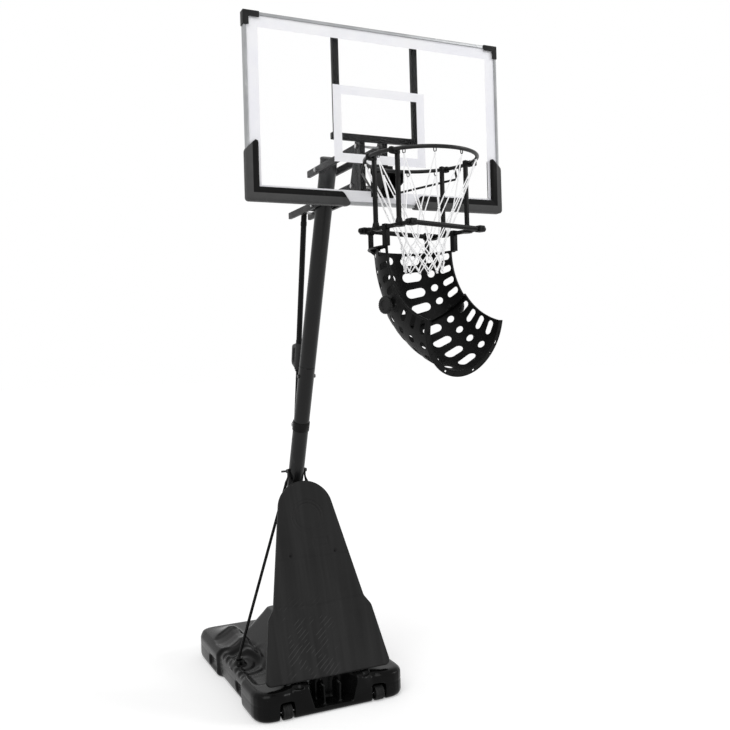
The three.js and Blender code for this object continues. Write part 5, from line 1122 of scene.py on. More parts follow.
# %% Clamp knob
def star_knob(origin, axis, radius, length, lobes, depth):
    """Rings of the outline r (1 + depth cos(lobes a)), drawn in at both ends by a quarter circle."""
    first, second = across(axis)
    angle = np.arange(lobes * 12) / (lobes * 12) * 2 * math.pi
    outline = 1 + depth * np.cos(lobes * angle)
    edge = radius * 0.22
    a = np.linspace(0, math.pi / 2, 6)
    reach = np.concatenate([radius - edge + edge * np.sin(a), radius - edge + edge * np.cos(a)])
    height = np.concatenate([edge - edge * np.cos(a), length - edge + edge * np.sin(a)])
    dish = radius * np.array([(0.55, 0), (0.48, -0.10), (0.1, -0.12)])
    reach = np.concatenate([reach, dish[:, 0]])
    height = np.concatenate([height, length + dish[:, 1]])
    swell = np.where(reach > radius * 0.6, 1.0, 0.0)[:, None]
    scale = reach[:, None] * (1 + (outline - 1) * swell)
    direction = np.cos(angle)[:, None] * first + np.sin(angle)[:, None] * second
    rings = np.asarray(origin) + height[:, None, None] * unit(axis) + scale[..., None] * direction
    return ring_shell(rings)


knob_start = RING_X + HEAD / 2 + 3.3 * MM
knob = joined([
    star_knob((knob_start, -BAR_Y, 0), (1, 0, 0), 12.5 * MM, 16 * MM, 6, 0.10),
    rod((RING_X + HEAD / 2 - 0.7 * MM, -BAR_Y, 0), (knob_start + MM, -BAR_Y, 0), 6 * MM, 1 * MM, 24),
])
add_piece("clamp_star_knob", moved(knob, return_frame), "board", cap_plastic,
          ["hanger_clamp_knob"])
print("hanger done")

# %% [markdown]
# ## The chute
# The chute is a trough with a U section that bends forward, in two sections joined by a hinge. It is a
# moulded sheet, pierced by rows of slots. The sheet is drawn flat first, with its width round the U
# as one coordinate and the bend angle as the other. The slots' outlines and a grid of points are joined
# into triangles, those inside a slot are left out, and then the sheet is wrapped twice, once for its
# inner face and once for its outer face, with walls along every edge.

# %% Where a point of the flat sheet goes
CHUTE_DROP, CHUTE_SETBACK, BEND_RADIUS = 0.365, 0.031, 0.334
CHUTE_RADIUS, CHUTE_WALL, CHUTE_LIP = 0.180, 4 * MM, 0.014
LOWER_RADIUS = CHUTE_RADIUS + CHUTE_WALL + 9 * MM
HINGE_BEND, END_BEND = math.radians(37.5), math.radians(77.5)
OVERLAP = 0.010 / (BEND_RADIUS + CHUTE_RADIUS)


def on_chute(width, bend, radius, nominal, back=0.0):
    """Wraps the sheet: round the arc while |width| < nominal * 90 degrees, then straight on for the
    lips. The section then turns about the bend's centre, and back moves it up the trough."""
    width, bend, radius, back = np.broadcast_arrays(
        np.asarray(width, float), np.asarray(bend, float), radius, back)
    quarter = nominal * math.pi / 2
    angle = np.clip(width / nominal, -math.pi / 2, math.pi / 2)
    past = np.maximum(np.abs(width) - quarter, 0)
    x = radius * np.sin(angle)
    y = radius * np.cos(angle) - past
    sin, cos = np.sin(bend), np.cos(bend)
    place = np.stack([
        x,
        CHUTE_SETBACK - BEND_RADIUS * (1 - cos) + y * cos + back * sin,
        -CHUTE_DROP - BEND_RADIUS * sin - y * sin + back * cos,
    ], -1)
    return place @ return_frame[:3, :3].T + return_frame[:3, 3]


# Each column's angle round the U in degrees, and its slots' length and height in millimetres.
SLOT_COLUMNS = ((0.0, 42, 32), (31.5, 86, 42), (-31.5, 86, 42), (59, 32, 32), (-59, 32, 32),
                (82, 60, 28), (-82, 60, 28))
SLOT_ROWS = 4


def slot_table(first_row, row_pitch, nominal):
    """Each slot's middle (width, bend), length round the trough and height along it."""
    rows = [math.radians(first_row + row_pitch * i) for i in range(SLOT_ROWS)]
    return [(math.radians(a) * nominal, bend, length * MM, height * MM)
            for bend in rows for a, length, height in SLOT_COLUMNS]


def half_sheet(nominal):
    """Half the flat sheet's width: a quarter turn of the U and the straight lip."""
    return nominal * math.pi / 2 + CHUTE_LIP


def along_scale(width, nominal):
    """Metres along the trough per radian of bend, at a width: the bend radius plus the section's y."""
    quarter = nominal * math.pi / 2
    y = nominal * np.cos(np.clip(width / nominal, -math.pi / 2, math.pi / 2))
    return BEND_RADIUS + y - np.maximum(np.abs(width) - quarter, 0)


def from_slot(points, slot, nominal):
    """Each point's distance from the line along the middle of a slot, in metres."""
    width, bend, length, height = slot
    past_line = np.maximum(np.abs(points[:, 0] - width) - max(length / 2 - height / 2, 0), 0)
    beside = (points[:, 1] - bend) * along_scale(points[:, 0], nominal)
    return np.hypot(past_line, beside)


def stadium(length, height):
    """A slot's outline: two half circles as wide as the slot is high, joined by straight sides."""
    r = height / 2
    half = max(length / 2 - r, 0.1 * MM)
    a = np.linspace(-math.pi / 2, math.pi / 2, 9)
    right_end = np.stack([half + r * np.cos(a), r * np.sin(a)], -1)
    return np.concatenate([right_end, -right_end])


# %% Wrap the sheet
SHEET_COLUMNS, SHEET_ROWS = 61, 30


def slotted_sheet(bend_start, bend_end, nominal, slots):
    """Points of the flat sheet, and its triangles outside the slots."""
    half_width = half_sheet(nominal)
    width_steps = np.linspace(-half_width, half_width, SHEET_COLUMNS)
    bend_steps = np.linspace(bend_start, bend_end, SHEET_ROWS)
    grid_w, grid_b = np.meshgrid(width_steps, bend_steps, indexing="ij")
    grid = np.stack([grid_w.ravel(), grid_b.ravel()], -1)
    keep = np.ones(len(grid), bool)
    outlines, edges = [], []
    count = 0
    for slot in slots:
        width, bend, length, height = slot
        outline = stadium(length, height)
        near_width = np.abs(grid[:, 0] - width) < length / 2 + 4 * MM
        near_bend = np.abs(grid[:, 1] - bend) * along_scale(width, nominal) < height / 2 + 4 * MM
        keep &= ~(near_width & near_bend & (from_slot(grid, slot, nominal) < height / 2 + 3.5 * MM))
        w = width + outline[:, 0]
        b = bend + outline[:, 1] / along_scale(w, nominal)
        outlines.append(np.stack([w, b], -1))
        index = count + np.arange(len(outline))
        edges += np.stack([index, np.roll(index, -1)], -1).tolist()
        count += len(outline)
    flat = np.concatenate([*outlines, grid[keep]])
    scale = BEND_RADIUS + nominal / 2
    as_plane = flat * (1, scale)
    same_point = 1e-7
    points, _, triangles, *_ = delaunay_2d_cdt([tuple(p) for p in as_plane], edges, [], 0, same_point)
    points = np.array([tuple(p) for p in points]) / (1, scale)
    triangles = np.array(triangles)
    middle = points[triangles].mean(1)
    inside = np.zeros(len(triangles), bool)
    for slot in slots:
        inside |= from_slot(middle, slot, nominal) < slot[3] / 2 - 0.1 * MM
    return points, triangles[~inside]


def sheet_shell(flat, triangles, inner, outer, nominal):
    """Both faces of the sheet, and a wall of quads on each edge that only one triangle uses."""
    inner_points = on_chute(flat[:, 0], flat[:, 1], inner, nominal)
    outer_points = on_chute(flat[:, 0], flat[:, 1], outer, nominal)
    n = len(flat)
    first, second, third = (flat[triangles[:, k]] for k in range(3))
    area = np.cross(second - first, third - first)
    triangles = np.where(area[:, None] > 0, triangles, triangles[:, ::-1])
    half_edges = np.concatenate([triangles[:, [0, 1]], triangles[:, [1, 2]], triangles[:, [2, 0]]])
    codes = half_edges[:, 0] * n + half_edges[:, 1]
    back = half_edges[:, 1] * n + half_edges[:, 0]
    open_edges = half_edges[~np.isin(codes, back)]
    faces = (triangles + n)[:, ::-1].tolist() + triangles.tolist()
    a, b = open_edges.T
    faces += np.stack([b, a, a + n, b + n], -1).tolist()
    return np.concatenate([inner_points, outer_points]), faces


def lip_bead(bend_start, bend_end, nominal, side):
    """A rounded rib along the outside of a lip: an oval section carried along the bend."""
    bends = np.linspace(bend_start, bend_end, 28)
    a = np.arange(14) / 14 * 2 * math.pi
    out_share = np.sign(np.cos(a)) * np.abs(np.cos(a)) ** 0.7
    side_share = np.sign(np.sin(a)) * np.abs(np.sin(a)) ** 0.7
    out = nominal + CHUTE_WALL + 2.2 * MM + 3.8 * MM * out_share
    width = side * (half_sheet(nominal) - 4 * MM + 4 * MM * side_share)
    rings = on_chute(width, bends[:, None], out, nominal)
    return ring_shell(rings if side > 0 else rings[:, ::-1])


def u_band(bend, nominal, inner, outer, back_low, back_high, span=None, steps=90):
    """A flat band round the trough, or over a span of its width: a section (out, back) with rounded
    corners, carried round the U."""
    low, high = span or (-half_sheet(nominal), half_sheet(nominal))
    widths = np.linspace(low, high, steps)
    e = min(1.3 * MM, (back_high - back_low) * 0.4, (outer - inner) * 0.4)
    section = np.array([
        (inner, back_low), (outer - e, back_low), (outer, back_low + e), (outer, back_high - e),
        (outer - e, back_high), (inner, back_high),
    ])
    return ring_shell(on_chute(widths[:, None], bend, section[:, 0], nominal, section[:, 1]))


# %% [markdown]
# The open end of the lower section has a stiff rim: two bands with ribs between them, so that short
# slits show along it. The upper section's top flange carries four legs up to the hanger, each with a
# loop round its rail or its tube.

# %% Upper and lower sections
LEG_FOOT = -CHUTE_DROP - 2.5 * MM
LOOP_ROOM, LOOP_WALL, LOOP_ROUNDING = BAR / 2 + 0.3 * MM, 4 * MM, 1.2 * MM
LOOP_Y, LOOP_BREADTH = 10 * MM, 22 * MM
COLLAR_X, COLLAR_TOP = 162.7 * MM, RAIL_Z - 13 * MM
# The section of the collar round a cross tube, as (radius, place along X).
COLLAR_SECTION = [(16 * MM, -11 * MM), (17 * MM, -10 * MM), (17 * MM, 10 * MM), (16 * MM, 11 * MM),
                  (10.3 * MM, 11 * MM), (10.3 * MM, -11 * MM)]
# A gusset's corners, as (side, bend, distance out of the sheet's inner face), and its faces.
GUSSET_HALF, GUSSET_TOP, GUSSET_LOW = 1.8 * MM, 0.004, 0.055
GUSSET_CORNERS = (
    (-1, GUSSET_TOP, 2 * MM), (1, GUSSET_TOP, 2 * MM), (1, GUSSET_LOW, 2 * MM), (-1, GUSSET_LOW, 2 * MM),
    (-1, GUSSET_TOP, 27 * MM), (1, GUSSET_TOP, 27 * MM), (1, 0.010, 26 * MM), (-1, 0.010, 26 * MM),
)
GUSSET_FACES = [[3, 2, 1, 0], [4, 5, 6, 7], [1, 5, 4, 0], [2, 6, 5, 1], [3, 7, 6, 2], [0, 4, 7, 3]]

upper_end = HINGE_BEND + OVERLAP
upper_slots = slot_table(3.9, 8.7, CHUTE_RADIUS)
flat, triangles = slotted_sheet(0.0, upper_end, CHUTE_RADIUS, upper_slots)
upper_shells = [sheet_shell(flat, triangles, CHUTE_RADIUS, CHUTE_RADIUS + CHUTE_WALL, CHUTE_RADIUS)]
upper_shells += [lip_bead(0.0, upper_end, CHUTE_RADIUS, side) for side in (-1, 1)]
upper_shells.append(u_band(0.0, CHUTE_RADIUS, CHUTE_RADIUS + 2 * MM, CHUTE_RADIUS + 31 * MM, -5 * MM, 0.0))
half_width = half_sheet(CHUTE_RADIUS)
for at in np.linspace(-half_width + 0.05, half_width - 0.05, 9):
    corners = [on_chute(at + side * GUSSET_HALF, bend, CHUTE_RADIUS + out, CHUTE_RADIUS)
               for side, bend, out in GUSSET_CORNERS]
    upper_shells.append((np.array(corners), GUSSET_FACES))


def rail_leg(x):
    """A leg below a rail with a loop of four bars round the rail."""
    size, middle = LOOP_ROOM + LOOP_WALL, LOOP_ROOM + LOOP_WALL / 2
    top = RAIL_Z - LOOP_ROOM
    upright, level = (LOOP_WALL, LOOP_BREADTH, 2 * size), (2 * size, LOOP_BREADTH, LOOP_WALL)
    shells = [box_at((x, LOOP_Y, (LEG_FOOT + top) / 2), (2 * size, LOOP_BREADTH, top - LEG_FOOT), 2 * MM)]
    shells += [box_at((x + s * middle, LOOP_Y, RAIL_Z), upright, LOOP_ROUNDING) for s in (-1, 1)]
    shells += [box_at((x, LOOP_Y, RAIL_Z + s * middle), level, LOOP_ROUNDING) for s in (-1, 1)]
    return shells


legs = []
for side in (-1, 1):
    legs += rail_leg(side * RAIL_X)
    x = side * COLLAR_X
    legs.append(lathe(COLLAR_SECTION, (x, TUBE_Y, RAIL_Z), (1, 0, 0), 40, closed=True))
    legs.append(box_at((x, TUBE_Y, (LEG_FOOT + COLLAR_TOP) / 2),
                       (22 * MM, 11 * MM, COLLAR_TOP - LEG_FOOT), 2 * MM))
upper_shells.append(moved(joined(legs), return_frame))
upper = add_piece("chute_upper_trough", joined(upper_shells), "board", chute_plastic,
                  ["chute_upper"], crease=40)

lower_start = HINGE_BEND - OVERLAP
lower_slots = slot_table(43.0, 9.1, LOWER_RADIUS)
flat, triangles = slotted_sheet(lower_start, END_BEND, LOWER_RADIUS, lower_slots)
lower_shells = [sheet_shell(flat, triangles, LOWER_RADIUS, LOWER_RADIUS + CHUTE_WALL, LOWER_RADIUS)]
lower_shells += [lip_bead(lower_start, END_BEND, LOWER_RADIUS, side) for side in (-1, 1)]
wall_out = LOWER_RADIUS + CHUTE_WALL
lower_shells.append(u_band(END_BEND, LOWER_RADIUS, LOWER_RADIUS + 2 * MM, wall_out + 6 * MM, 0.0, 5 * MM))
lower_shells.append(u_band(END_BEND, LOWER_RADIUS, wall_out + 13 * MM, wall_out + 20 * MM, 0.0, 5 * MM))
half_width = half_sheet(LOWER_RADIUS)
NARROW_RIB, BROAD_RIB = 39 * MM, 56 * MM
for i, at in enumerate(np.linspace(-half_width + 0.012, half_width - 0.012, 13)):
    half_rib = (NARROW_RIB if i % 3 else BROAD_RIB) / 2
    at = np.clip(at, -half_width + half_rib, half_width - half_rib)
    lower_shells.append(u_band(END_BEND, LOWER_RADIUS, wall_out + 4 * MM, wall_out + 15 * MM, 0.2 * MM,
                               4.8 * MM, (at - half_rib, at + half_rib), 4))
lower = add_piece("chute_lower_trough", joined(lower_shells), "lower_chute", chute_plastic,
                  ["chute_lower"], crease=40)
print("chute faces:", len(upper.data.polygons), len(lower.data.polygons))

# %% [markdown]
# The hinge's round knobs are turned, with a ring of grip flutes, on a bolt through both walls.

# %% Hinge knobs
HINGE_REACH = BEND_RADIUS + 62 * MM
hinge_y = CHUTE_SETBACK - BEND_RADIUS + HINGE_REACH * math.cos(HINGE_BEND)
hinge_z = -CHUTE_DROP - HINGE_REACH * math.sin(HINGE_BEND)
KNOB_START = 0.1975
# Collar, bolt and nut: both ends out from the trough's middle, radius, rounding and number of sides.
HINGE_RODS = ((0.1886, 0.2030, 8 * MM, 0.5 * MM, 28), (0.1600, 0.2000, 5 * MM, 0.5 * MM, 20),
              (0.1560, 0.1610, 8 * MM, 1.2 * MM, 24))
for name, side in (("left", -1), ("right", 1)):
    out = np.array([side, 0.0, 0.0])
    centre = np.array([0, hinge_y, hinge_z])
    knob_shells = [star_knob(centre + out * KNOB_START, out, 36 * MM, 20 * MM, 24, 0.025)]
    for start, end, radius, rounding, sides in HINGE_RODS:
        knob_shells.append(rod(centre + out * start, centre + out * end, radius, rounding, sides))
    knob = joined(knob_shells)
    add_piece("hinge_round_knob_" + name, moved(knob, return_frame), "board", cap_plastic,
              ["hinge_knob_" + name])
print("hinge at:", np.round(return_frame[:3, :3] @ (0, hinge_y, hinge_z) + RIM_CENTRE, 4))

# %% [markdown]
# ## The tank
# The tank is blow-moulded: a soft skin blown into a mould, so it has no sharp edge anywhere. The CAD
# solid has the right plan, pockets and wheel arches but flat facets. Its copy is wrapped in an even
# skin with a Remesh, smoothed, and then pushed by a function of each point's place: the sides are drawn
# in at the waist, the deck is dished and rises again at the hump's foot, and a soft ridge runs round the
# foot of each side brace.

# %% Wrap the tank in an even skin
TANK_SKIN, SKIN_PASSES = 7 * MM, 5
FILLER_PLACE = np.array([0.305, 0.497, DECK_HEIGHT])
HALF_WIDTH, HALF_LENGTH = 0.433, 0.625


def even_skin(node, size, smoothing, name):
    """The node's merged copy after a voxel Remesh and a Smooth, as a plain mesh."""
    mesh = merged_copy(node, name)
    holder = bpy.data.objects.new(name, mesh)
    bpy.context.scene.collection.objects.link(holder)
    wrap = holder.modifiers.new("wrap", "REMESH")
    wrap.mode, wrap.voxel_size, wrap.use_smooth_shade = "VOXEL", size, True
    ease = holder.modifiers.new("ease", "SMOOTH")
    ease.factor, ease.iterations = 0.5, smoothing
    bpy.context.view_layer.update()
    result = bpy.data.meshes.new_from_object(holder.evaluated_get(bpy.context.evaluated_depsgraph_get()))
    bpy.data.objects.remove(holder)
    bpy.data.meshes.remove(mesh)
    return result


def smooth_window(value, low, high, edge):
    """1 between low and high, eased to 0 over the edge width outside them."""
    return eased((value - low) / edge + 1) * eased((high - value) / edge + 1)


def bell(value, middle, reach):
    """1 at the middle, falling to both sides as e to the minus (distance / reach) squared."""
    return np.exp(-((value - middle) / reach) ** 2)


def spot(x, y, place, reach):
    """1 at a place, falling round it as e to the minus (distance / reach) squared."""
    return bell(x, place[0], reach) * bell(y, place[1], reach)


def shape_tank(points):
    """The skin's points moved for the waist, the dished deck with its rise and ridges, the front's
    notches and the seam. Each step is a depth times windows that ease between 0 and 1."""
    x, y, z = points.T.copy()
    near_foot = spot(np.abs(x), y, SIDE_FOOT, 45 * MM)
    near_strut = spot(np.abs(x), y, STRUT_FOOT, 50 * MM)
    near_filler = spot(x, y, FILLER_PLACE, 60 * MM)
    free = np.clip(1 - near_foot - near_strut - near_filler, 0, 1)

    waist = smooth_window(y, -0.30, 0.12, 0.05) * eased((np.abs(x) - 0.36) / 0.06)
    x = x * (1 - 0.055 * waist * (1 - 0.3 * eased(z / 0.1)))

    above_waist = eased((z - 0.115) / 0.04)
    top = above_waist * (1 - eased((z - 0.175) / 0.05))
    first_height = z.copy()
    beside = smooth_window(np.abs(x), 0.255, 0.350, 0.05) * smooth_window(y, -0.40, 0.06, 0.08)
    z = z - 0.020 * beside * top * free
    back_block = smooth_window(y, 0.16, 0.60, 0.03) * smooth_window(np.abs(x), 0.0, 0.40, 0.03)
    z = z - 0.010 * (1 - back_block) * top * free * (np.abs(x) > 0.225)

    distance = np.hypot(np.abs(x) - SIDE_FOOT[0], y - SIDE_FOOT[1])
    ripple = np.cos(distance / 0.066 * 2 * math.pi) * smooth_window(distance, 0.08, 0.17, 0.05)
    z = z + 0.004 * ripple * top * free

    beyond = np.clip((np.abs(x) - 0.285) / 0.125, 0, 1)
    skirt = 0.055 * (1 - beyond) ** 1.8 * smooth_window(y, 0.05, 0.36, 0.22)
    skirt = skirt * np.clip(1 - near_foot - near_filler, 0, 1) * eased((np.abs(x) - 0.19) / 0.07)
    z = z + np.clip(DECK_HEIGHT + skirt - first_height, 0, skirt) * above_waist

    front = eased((-0.50 - y) / 0.06)
    flare = bell(np.abs(x), 0.118, 0.045) * eased((z - 0.03) / 0.12) * front
    x = x + np.sign(x) * 0.026 * flare
    notch = bell(np.abs(x), 0.235, 0.036) * eased((z - 0.06) / 0.09) * eased((-0.55 - y) / 0.06)
    y = y + 0.022 * notch

    seam = bell(z, 0.088, 0.004)
    outward = eased((np.maximum(np.abs(x) / HALF_WIDTH, np.abs(y) / HALF_LENGTH) - 0.93) / 0.03)
    scale = 1 - 0.0028 * seam * outward
    return np.stack([x * scale, y * scale, z], -1)


tank_mesh = even_skin("base_tank", TANK_SKIN, SKIN_PASSES, "tank_skin")
tank_points = np.empty(len(tank_mesh.vertices) * 3)
tank_mesh.vertices.foreach_get("co", tank_points)
tank_points = shape_tank(tank_points.reshape(-1, 3))
tank_points[:, 2] = np.maximum(tank_points[:, 2], 0.0)
tank_mesh.vertices.foreach_set("co", tank_points.ravel())
tank_mesh.update()
finish_piece("tank_skin", tank_mesh, "stand", tank_plastic, ["base_tank"])
print("tank faces:", len(tank_mesh.polygons))

# %% [markdown]
# The filler cap and the wheels are turned. The wheel's tread has shallow grooves, and its sides are
# dished in to a hub, so its profile is a closed loop from the bore out over the tread and back. Six
# spokes stand out of each dish, by the fourth power of cos 6a where that is positive.

# %% Filler cap and wheels
filler_cap = star_knob(FILLER_PLACE, (0, 0, 1), 39.5 * MM, 15.7 * MM, 28, 0.018)
add_piece("filler_screw_cap", filler_cap, "stand", cap_plastic, ["filler_cap"])
WHEEL_RADIUS, WHEEL_HALF = 40 * MM, 25 * MM
WHEEL_CENTRE = np.array([0.265, -0.596, 0.0425])


def wheel_profile(radius, half):
    """The loop's half from the middle of the tread to the bore, after its mirror image."""
    tread = []
    floor_radius = radius - 1.4 * MM
    for g in (6 * MM, 14 * MM):
        tread += [(radius, g - 2 * MM), (floor_radius, g - 1.2 * MM), (floor_radius, g + 1.2 * MM),
                  (radius, g + 2 * MM)]
    a = np.linspace(0, math.pi / 2, 6)
    shoulder = np.stack([radius - 4 * MM + 4 * MM * np.cos(a), half - 4 * MM + 4 * MM * np.sin(a)], -1)
    face = [(radius - 9 * MM, half), (radius - 10.5 * MM, half - 1.5 * MM),
            (radius - 12 * MM, half - 7 * MM), (16 * MM, half - 8 * MM), (14 * MM, half - 6 * MM),
            (13.5 * MM, half - 0.6 * MM), (12.8 * MM, half), (5.6 * MM, half)]
    outer = np.concatenate([tread, shoulder, face])
    mirror = outer[::-1] * (1, -1)
    return np.concatenate([mirror, outer])


for name, side in (("left", -1), ("right", 1)):
    centre = WHEEL_CENTRE * (side, 1, 1)
    shell = lathe(wheel_profile(WHEEL_RADIUS, WHEEL_HALF), centre, (1, 0, 0), 72, closed=True)
    points = shell[0].copy()
    away = points - centre
    turn_angle = np.arctan2(away[:, 2], away[:, 1])
    reach = np.hypot(away[:, 1], away[:, 2])
    dished = smooth_window(reach, 0.017, 0.027, 0.001) * (np.abs(away[:, 0]) < 0.019)
    spoke = np.maximum(np.cos(turn_angle * 6), 0) ** 4
    points[:, 0] += np.sign(away[:, 0]) * 5 * MM * spoke * dished
    add_piece("caster_wheel_" + name, (points, shell[1]), name + "_wheel", wheel_plastic,
              ["wheel_" + name])
print("wheels: 2")

# %% [markdown]
# ## The front cover
# The cover is one sheet in front of the pole: narrow and arched at the top, stepped in at knee height,
# with edges that turn back. Its outline has rounded corners. A profile is carried round the outline for
# the turned edge, and rings that shrink on to a line up the middle fill the face, so that shallow relief
# can be worked out at every point.

# %% The cover's outline
COVER_LEAN = math.radians(19.43)
COVER_DEPTH, COVER_WALL, COVER_EDGE, COVER_HEIGHT = 26 * MM, 3.2 * MM, 9 * MM, 1.069
COVER_FOOT = np.array([0.0, -0.581, DECK_HEIGHT + COVER_DEPTH * math.sin(COVER_LEAN)])
up_cover = np.array([0, math.sin(COVER_LEAN), math.cos(COVER_LEAN)])
out_cover = np.array([0, -math.cos(COVER_LEAN), math.sin(COVER_LEAN)])
# Each corner is (half width, rise, radius).
COVER_CORNERS = [(0.365, 0.0, 0.030), (0.305, 0.336, 0.040), (0.268, 0.390, 0.040), (0.152, 0.990, 0.155),
                 (0.066, COVER_HEIGHT, 0.155)]


def cover_half_width(rise):
    """Half the cover's width at a rise, straight between its corners."""
    return np.interp(rise, [c[1] for c in COVER_CORNERS], [c[0] for c in COVER_CORNERS])


def rounded_outline(corners, count):
    """An arc at each corner, tangent to both sides; points at equal steps round the whole outline."""
    right_side = np.array(corners)
    left_side = right_side[::-1] * (-1, 1, 1)
    ring = np.concatenate([right_side, left_side])
    before, after = np.roll(ring, 1, 0), np.roll(ring, -1, 0)
    path = []
    for corner, previous, following in zip(ring, before, after):
        p, radius = corner[:2], corner[2]
        a, b = unit(previous[:2] - p), unit(following[:2] - p)
        half = math.acos(np.clip(a @ b, -1, 1)) / 2
        reach = radius / math.tan(half)
        centre = p + unit(a + b) * radius / math.sin(half)
        start, end = p + a * reach - centre, p + b * reach - centre
        sweep = math.atan2(start[0] * end[1] - start[1] * end[0], start @ end)
        turn_by = np.linspace(0, sweep, 14)[:, None]
        path.append(centre + start * np.cos(turn_by) + np.stack([-start[1], start[0]]) * np.sin(turn_by))
    path = np.concatenate(path)
    closed = np.concatenate([path, path[:1]])
    length = np.concatenate([[0], np.cumsum(np.linalg.norm(np.diff(closed, axis=0), axis=1))])
    steps = np.linspace(0, length[-1], count, endpoint=False)
    return np.stack([np.interp(steps, length, closed[:, 0]), np.interp(steps, length, closed[:, 1])], -1)


cover_outline = rounded_outline(COVER_CORNERS, 480)
print("outline points:", len(cover_outline))


# %% Relief on the face
screw_low, screw_high = (np.array(corner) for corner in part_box("cover_screw_right"))
screw_place = (screw_low + screw_high) / 2
SCREW_X = screw_place[0]
SCREW_RISE = (np.array([0, screw_place[1], screw_place[2]]) - COVER_FOOT) @ up_cover
print("screws at:", round(SCREW_X, 4), "across and", round(SCREW_RISE, 4), "up the cover")


def cover_relief(x, y):
    """Metres out of the face: falling edges, two creases, screw dimples, two moulded rings, the outline
    of a small panel, a shallow dish low down and slight waves."""
    fall = -3.0 * np.clip(np.abs(x) / cover_half_width(y), 0, 1.05) ** 5
    knee = -3.2 * bell(y - 0.06 * np.abs(x), 0.372, 0.0050) * smooth_window(np.abs(x), 0, 0.235, 0.02)
    screw_line = -2.6 * bell(y, 0.632, 0.0042) * smooth_window(np.abs(x), 0, 0.205, 0.02)
    dimples = -3.5 * np.exp(-(np.hypot(np.abs(x) - SCREW_X, y - SCREW_RISE) / 0.011) ** 4)
    radius = np.hypot(x, y - 0.862)
    ring = -3.0 * bell(radius, 0.076, 0.0042) - 2.2 * bell(radius, 0.094, 0.0042)
    panel_distance = np.maximum(np.abs(x - 0.055) - 0.042, np.abs(y - 0.712) - 0.020)
    panel = -2.6 * bell(panel_distance, 0.0, 0.0040)
    lower_dish = -2.5 * smooth_window(y, 0.07, 0.28, 0.05) * smooth_window(np.abs(x), 0, 0.20, 0.06)
    waves = 0.35 * np.cos(x / 0.045 * 2 * math.pi) * smooth_window(y, 0.03, 0.65, 0.05)
    return (fall + knee + screw_line + dimples + ring + panel + lower_dish + waves) * MM


def carried_round(outline, inset, back):
    """The outline drawn in by each inset along its own normal, at each depth behind the face."""
    tangent = unit(np.roll(outline, -1, 0) - np.roll(outline, 1, 0))
    inward = np.stack([-tangent[:, 1], tangent[:, 0]], -1)
    flat = outline + np.asarray(inset)[:, None, None] * inward
    depth = np.broadcast_to(np.asarray(back)[:, None, None], flat.shape[:2] + (1,))
    return np.concatenate([flat, -depth], -1)


COVER_SPINE = (0.26, 0.90)


def filled_face(ring, count, back):
    """Rings from an outline in to the spine: p + (c - p) t, where c is the nearest point of the spine."""
    t = np.linspace(0, 1, count)[1:, None, None]
    middle = np.stack([np.zeros(len(ring)), np.clip(ring[:, 1], *COVER_SPINE)], -1)
    flat = ring[:, :2] + (middle - ring[:, :2]) * t
    return np.concatenate([flat, np.full(flat.shape[:2] + (1,), -back)], -1)


quarter = np.linspace(0, math.pi / 2, 7)
edge_inset = COVER_EDGE - COVER_EDGE * np.cos(quarter)
edge_back = COVER_EDGE - COVER_EDGE * np.sin(quarter)
hem = [COVER_DEPTH, COVER_DEPTH - 0.8 * MM]
outside = carried_round(cover_outline, np.concatenate([[0.6 * MM, 0, 0], edge_inset[1:]]),
                        np.concatenate([hem, [COVER_EDGE], edge_back[1:]]))
inner_edge = COVER_EDGE - COVER_WALL
inner_inset = COVER_WALL + inner_edge - inner_edge * np.cos(quarter)
inner_back = COVER_WALL + inner_edge - inner_edge * np.sin(quarter)
inside = carried_round(cover_outline, np.concatenate([[COVER_WALL - 0.6 * MM, COVER_WALL], inner_inset]),
                       np.concatenate([hem, inner_back]))
front_fill = filled_face(outside[-1], 100, 0.0)
back_fill = filled_face(inside[-1], 24, COVER_WALL)
grid = np.concatenate([back_fill[::-1], inside[::-1], outside, front_fill])
reach_in = np.concatenate([
    np.ones(len(back_fill)),
    eased(np.linspace(1, 0, len(inside))),
    eased(np.linspace(0, 1, len(outside))),
    np.ones(len(front_fill)),
])[:, None]
grid[..., 2] += cover_relief(grid[..., 0], grid[..., 1]) * reach_in
local = grid.reshape(-1, 3)
world = COVER_FOOT + local[:, :1] * (1, 0, 0) + local[:, 1:2] * up_cover + local[:, 2:] * out_cover
cover_shells = [(world, grid_faces(len(grid), len(cover_outline)))]

cover_frame = np.eye(4)
cover_frame[:3, 0], cover_frame[:3, 1], cover_frame[:3, 2] = (1, 0, 0), up_cover, out_cover
cover_frame[:3, 3] = COVER_FOOT
# Ribs across the back at these shares of the height, then upright ones at these places across.
for share in (0.16, 0.346, 0.6):
    rise = share * COVER_HEIGHT
    half = cover_half_width(rise) - 5 * MM
    rib = rounded_box((-half, rise, -17 * MM), (half, rise + COVER_WALL, -2 * MM), 0.8 * MM, 2)
    cover_shells.append(moved(rib, cover_frame))
for x in (-0.18, -0.06, 0.06, 0.18):
    top = 0.62 if abs(x) < 0.1 else 0.60
    rib = rounded_box((x - 1.5 * MM, 0.03, -12 * MM), (x + 1.5 * MM, top, -2 * MM), 0.8 * MM, 2)
    cover_shells.append(moved(rib, cover_frame))
add_piece("front_cover_panel", joined(cover_shells), "stand", cover_sheet, ["front_cover"],
          crease=50)
print("cover done")

# %% [markdown]
# ## Floor and light
# The photograph's background is plain white. The floor is pale and takes the object's soft shadow, and
# to the camera it is lifted to white by a little emission. The world is white to the camera, to gloss
# and through glass, but lights the object only at a plain level. A broad lamp from the front left and a
# weaker one from the right shape the dark plastic.

# %% Floor, world and lamps
FLOOR_HALF, FLOOR_TONE, FLOOR_LIFT, WORLD_LEVEL = 60.0, 0.82, 0.30, 0.55


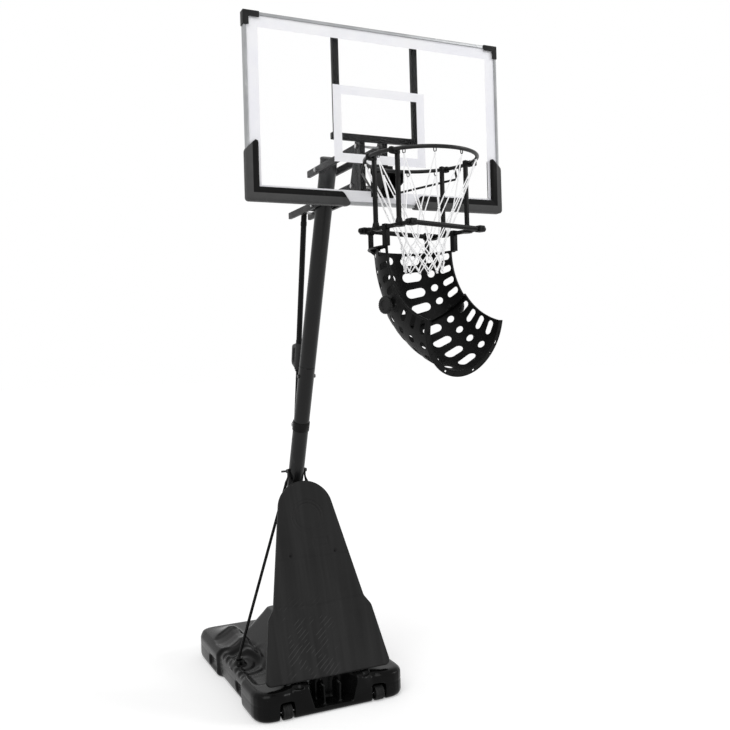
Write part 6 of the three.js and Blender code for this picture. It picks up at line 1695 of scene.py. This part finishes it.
def seen_directly(tree):
    """1 on rays from the camera, off gloss and through glass, and 0 on the others."""
    path = tree.nodes.new("ShaderNodeLightPath")
    seen = math_node(tree, "MAXIMUM", path.outputs["Is Camera Ray"], path.outputs["Is Glossy Ray"])
    return math_node(tree, "MAXIMUM", seen, path.outputs["Is Transmission Ray"])


def floor_material():
    """A pale diffuse floor that adds a little white where the camera sees it directly."""
    material = bpy.data.materials.new("studio_floor")
    material.use_nodes = True
    tree = material.node_tree
    tree.nodes.clear()
    out = tree.nodes.new("ShaderNodeOutputMaterial")
    matte = tree.nodes.new("ShaderNodeBsdfDiffuse")
    matte.inputs["Color"].default_value = (*grey(FLOOR_TONE), 1)
    lift = tree.nodes.new("ShaderNodeEmission")
    tree.links.new(math_node(tree, "MULTIPLY", seen_directly(tree), FLOOR_LIFT), lift.inputs["Strength"])
    both = tree.nodes.new("ShaderNodeAddShader")
    tree.links.new(matte.outputs[0], both.inputs[0])
    tree.links.new(lift.outputs[0], both.inputs[1])
    tree.links.new(both.outputs[0], out.inputs["Surface"])
    return material


floor_mesh = bpy.data.meshes.new("studio_floor")
floor_corners = [(x * FLOOR_HALF, y * FLOOR_HALF, 0) for x, y in ((-1, -1), (1, -1), (1, 1), (-1, 1))]
floor_mesh.from_pydata(floor_corners, [], [(0, 1, 2, 3)])
floor = bpy.data.objects.new("studio_floor", floor_mesh)
bpy.context.scene.collection.objects.link(floor)
floor_mesh.materials.append(floor_material())

world = bpy.data.worlds.new("studio_world")
bpy.context.scene.world = world
world.use_nodes = True
tree = world.node_tree
background = tree.nodes["Background"]
world_colour = mix_colour(tree, seen_directly(tree), grey(WORLD_LEVEL), grey(1.0))
tree.links.new(world_colour, background.inputs["Color"])


def soft_sun(name, strength, width, direction):
    """A sun lamp that shines along a direction; its width in degrees sets how soft shadows are."""
    lamp = bpy.data.objects.new(name, bpy.data.lights.new(name, "SUN"))
    bpy.context.scene.collection.objects.link(lamp)
    lamp.data.energy, lamp.data.angle = strength, math.radians(width)
    right, back = across(direction)[0], -unit(direction)
    turn = np.eye(4)
    turn[:3, 0], turn[:3, 1], turn[:3, 2] = right, np.cross(back, right), back
    lamp.matrix_world = Matrix(turn.tolist())


soft_sun("key_lamp", 1.30, 40, (0.45, 0.55, -0.80))
soft_sun("side_lamp", 0.80, 22, (-0.75, 0.45, -0.35))
bpy.context.scene.view_settings.view_transform = "Standard"
print("lamps: 2")
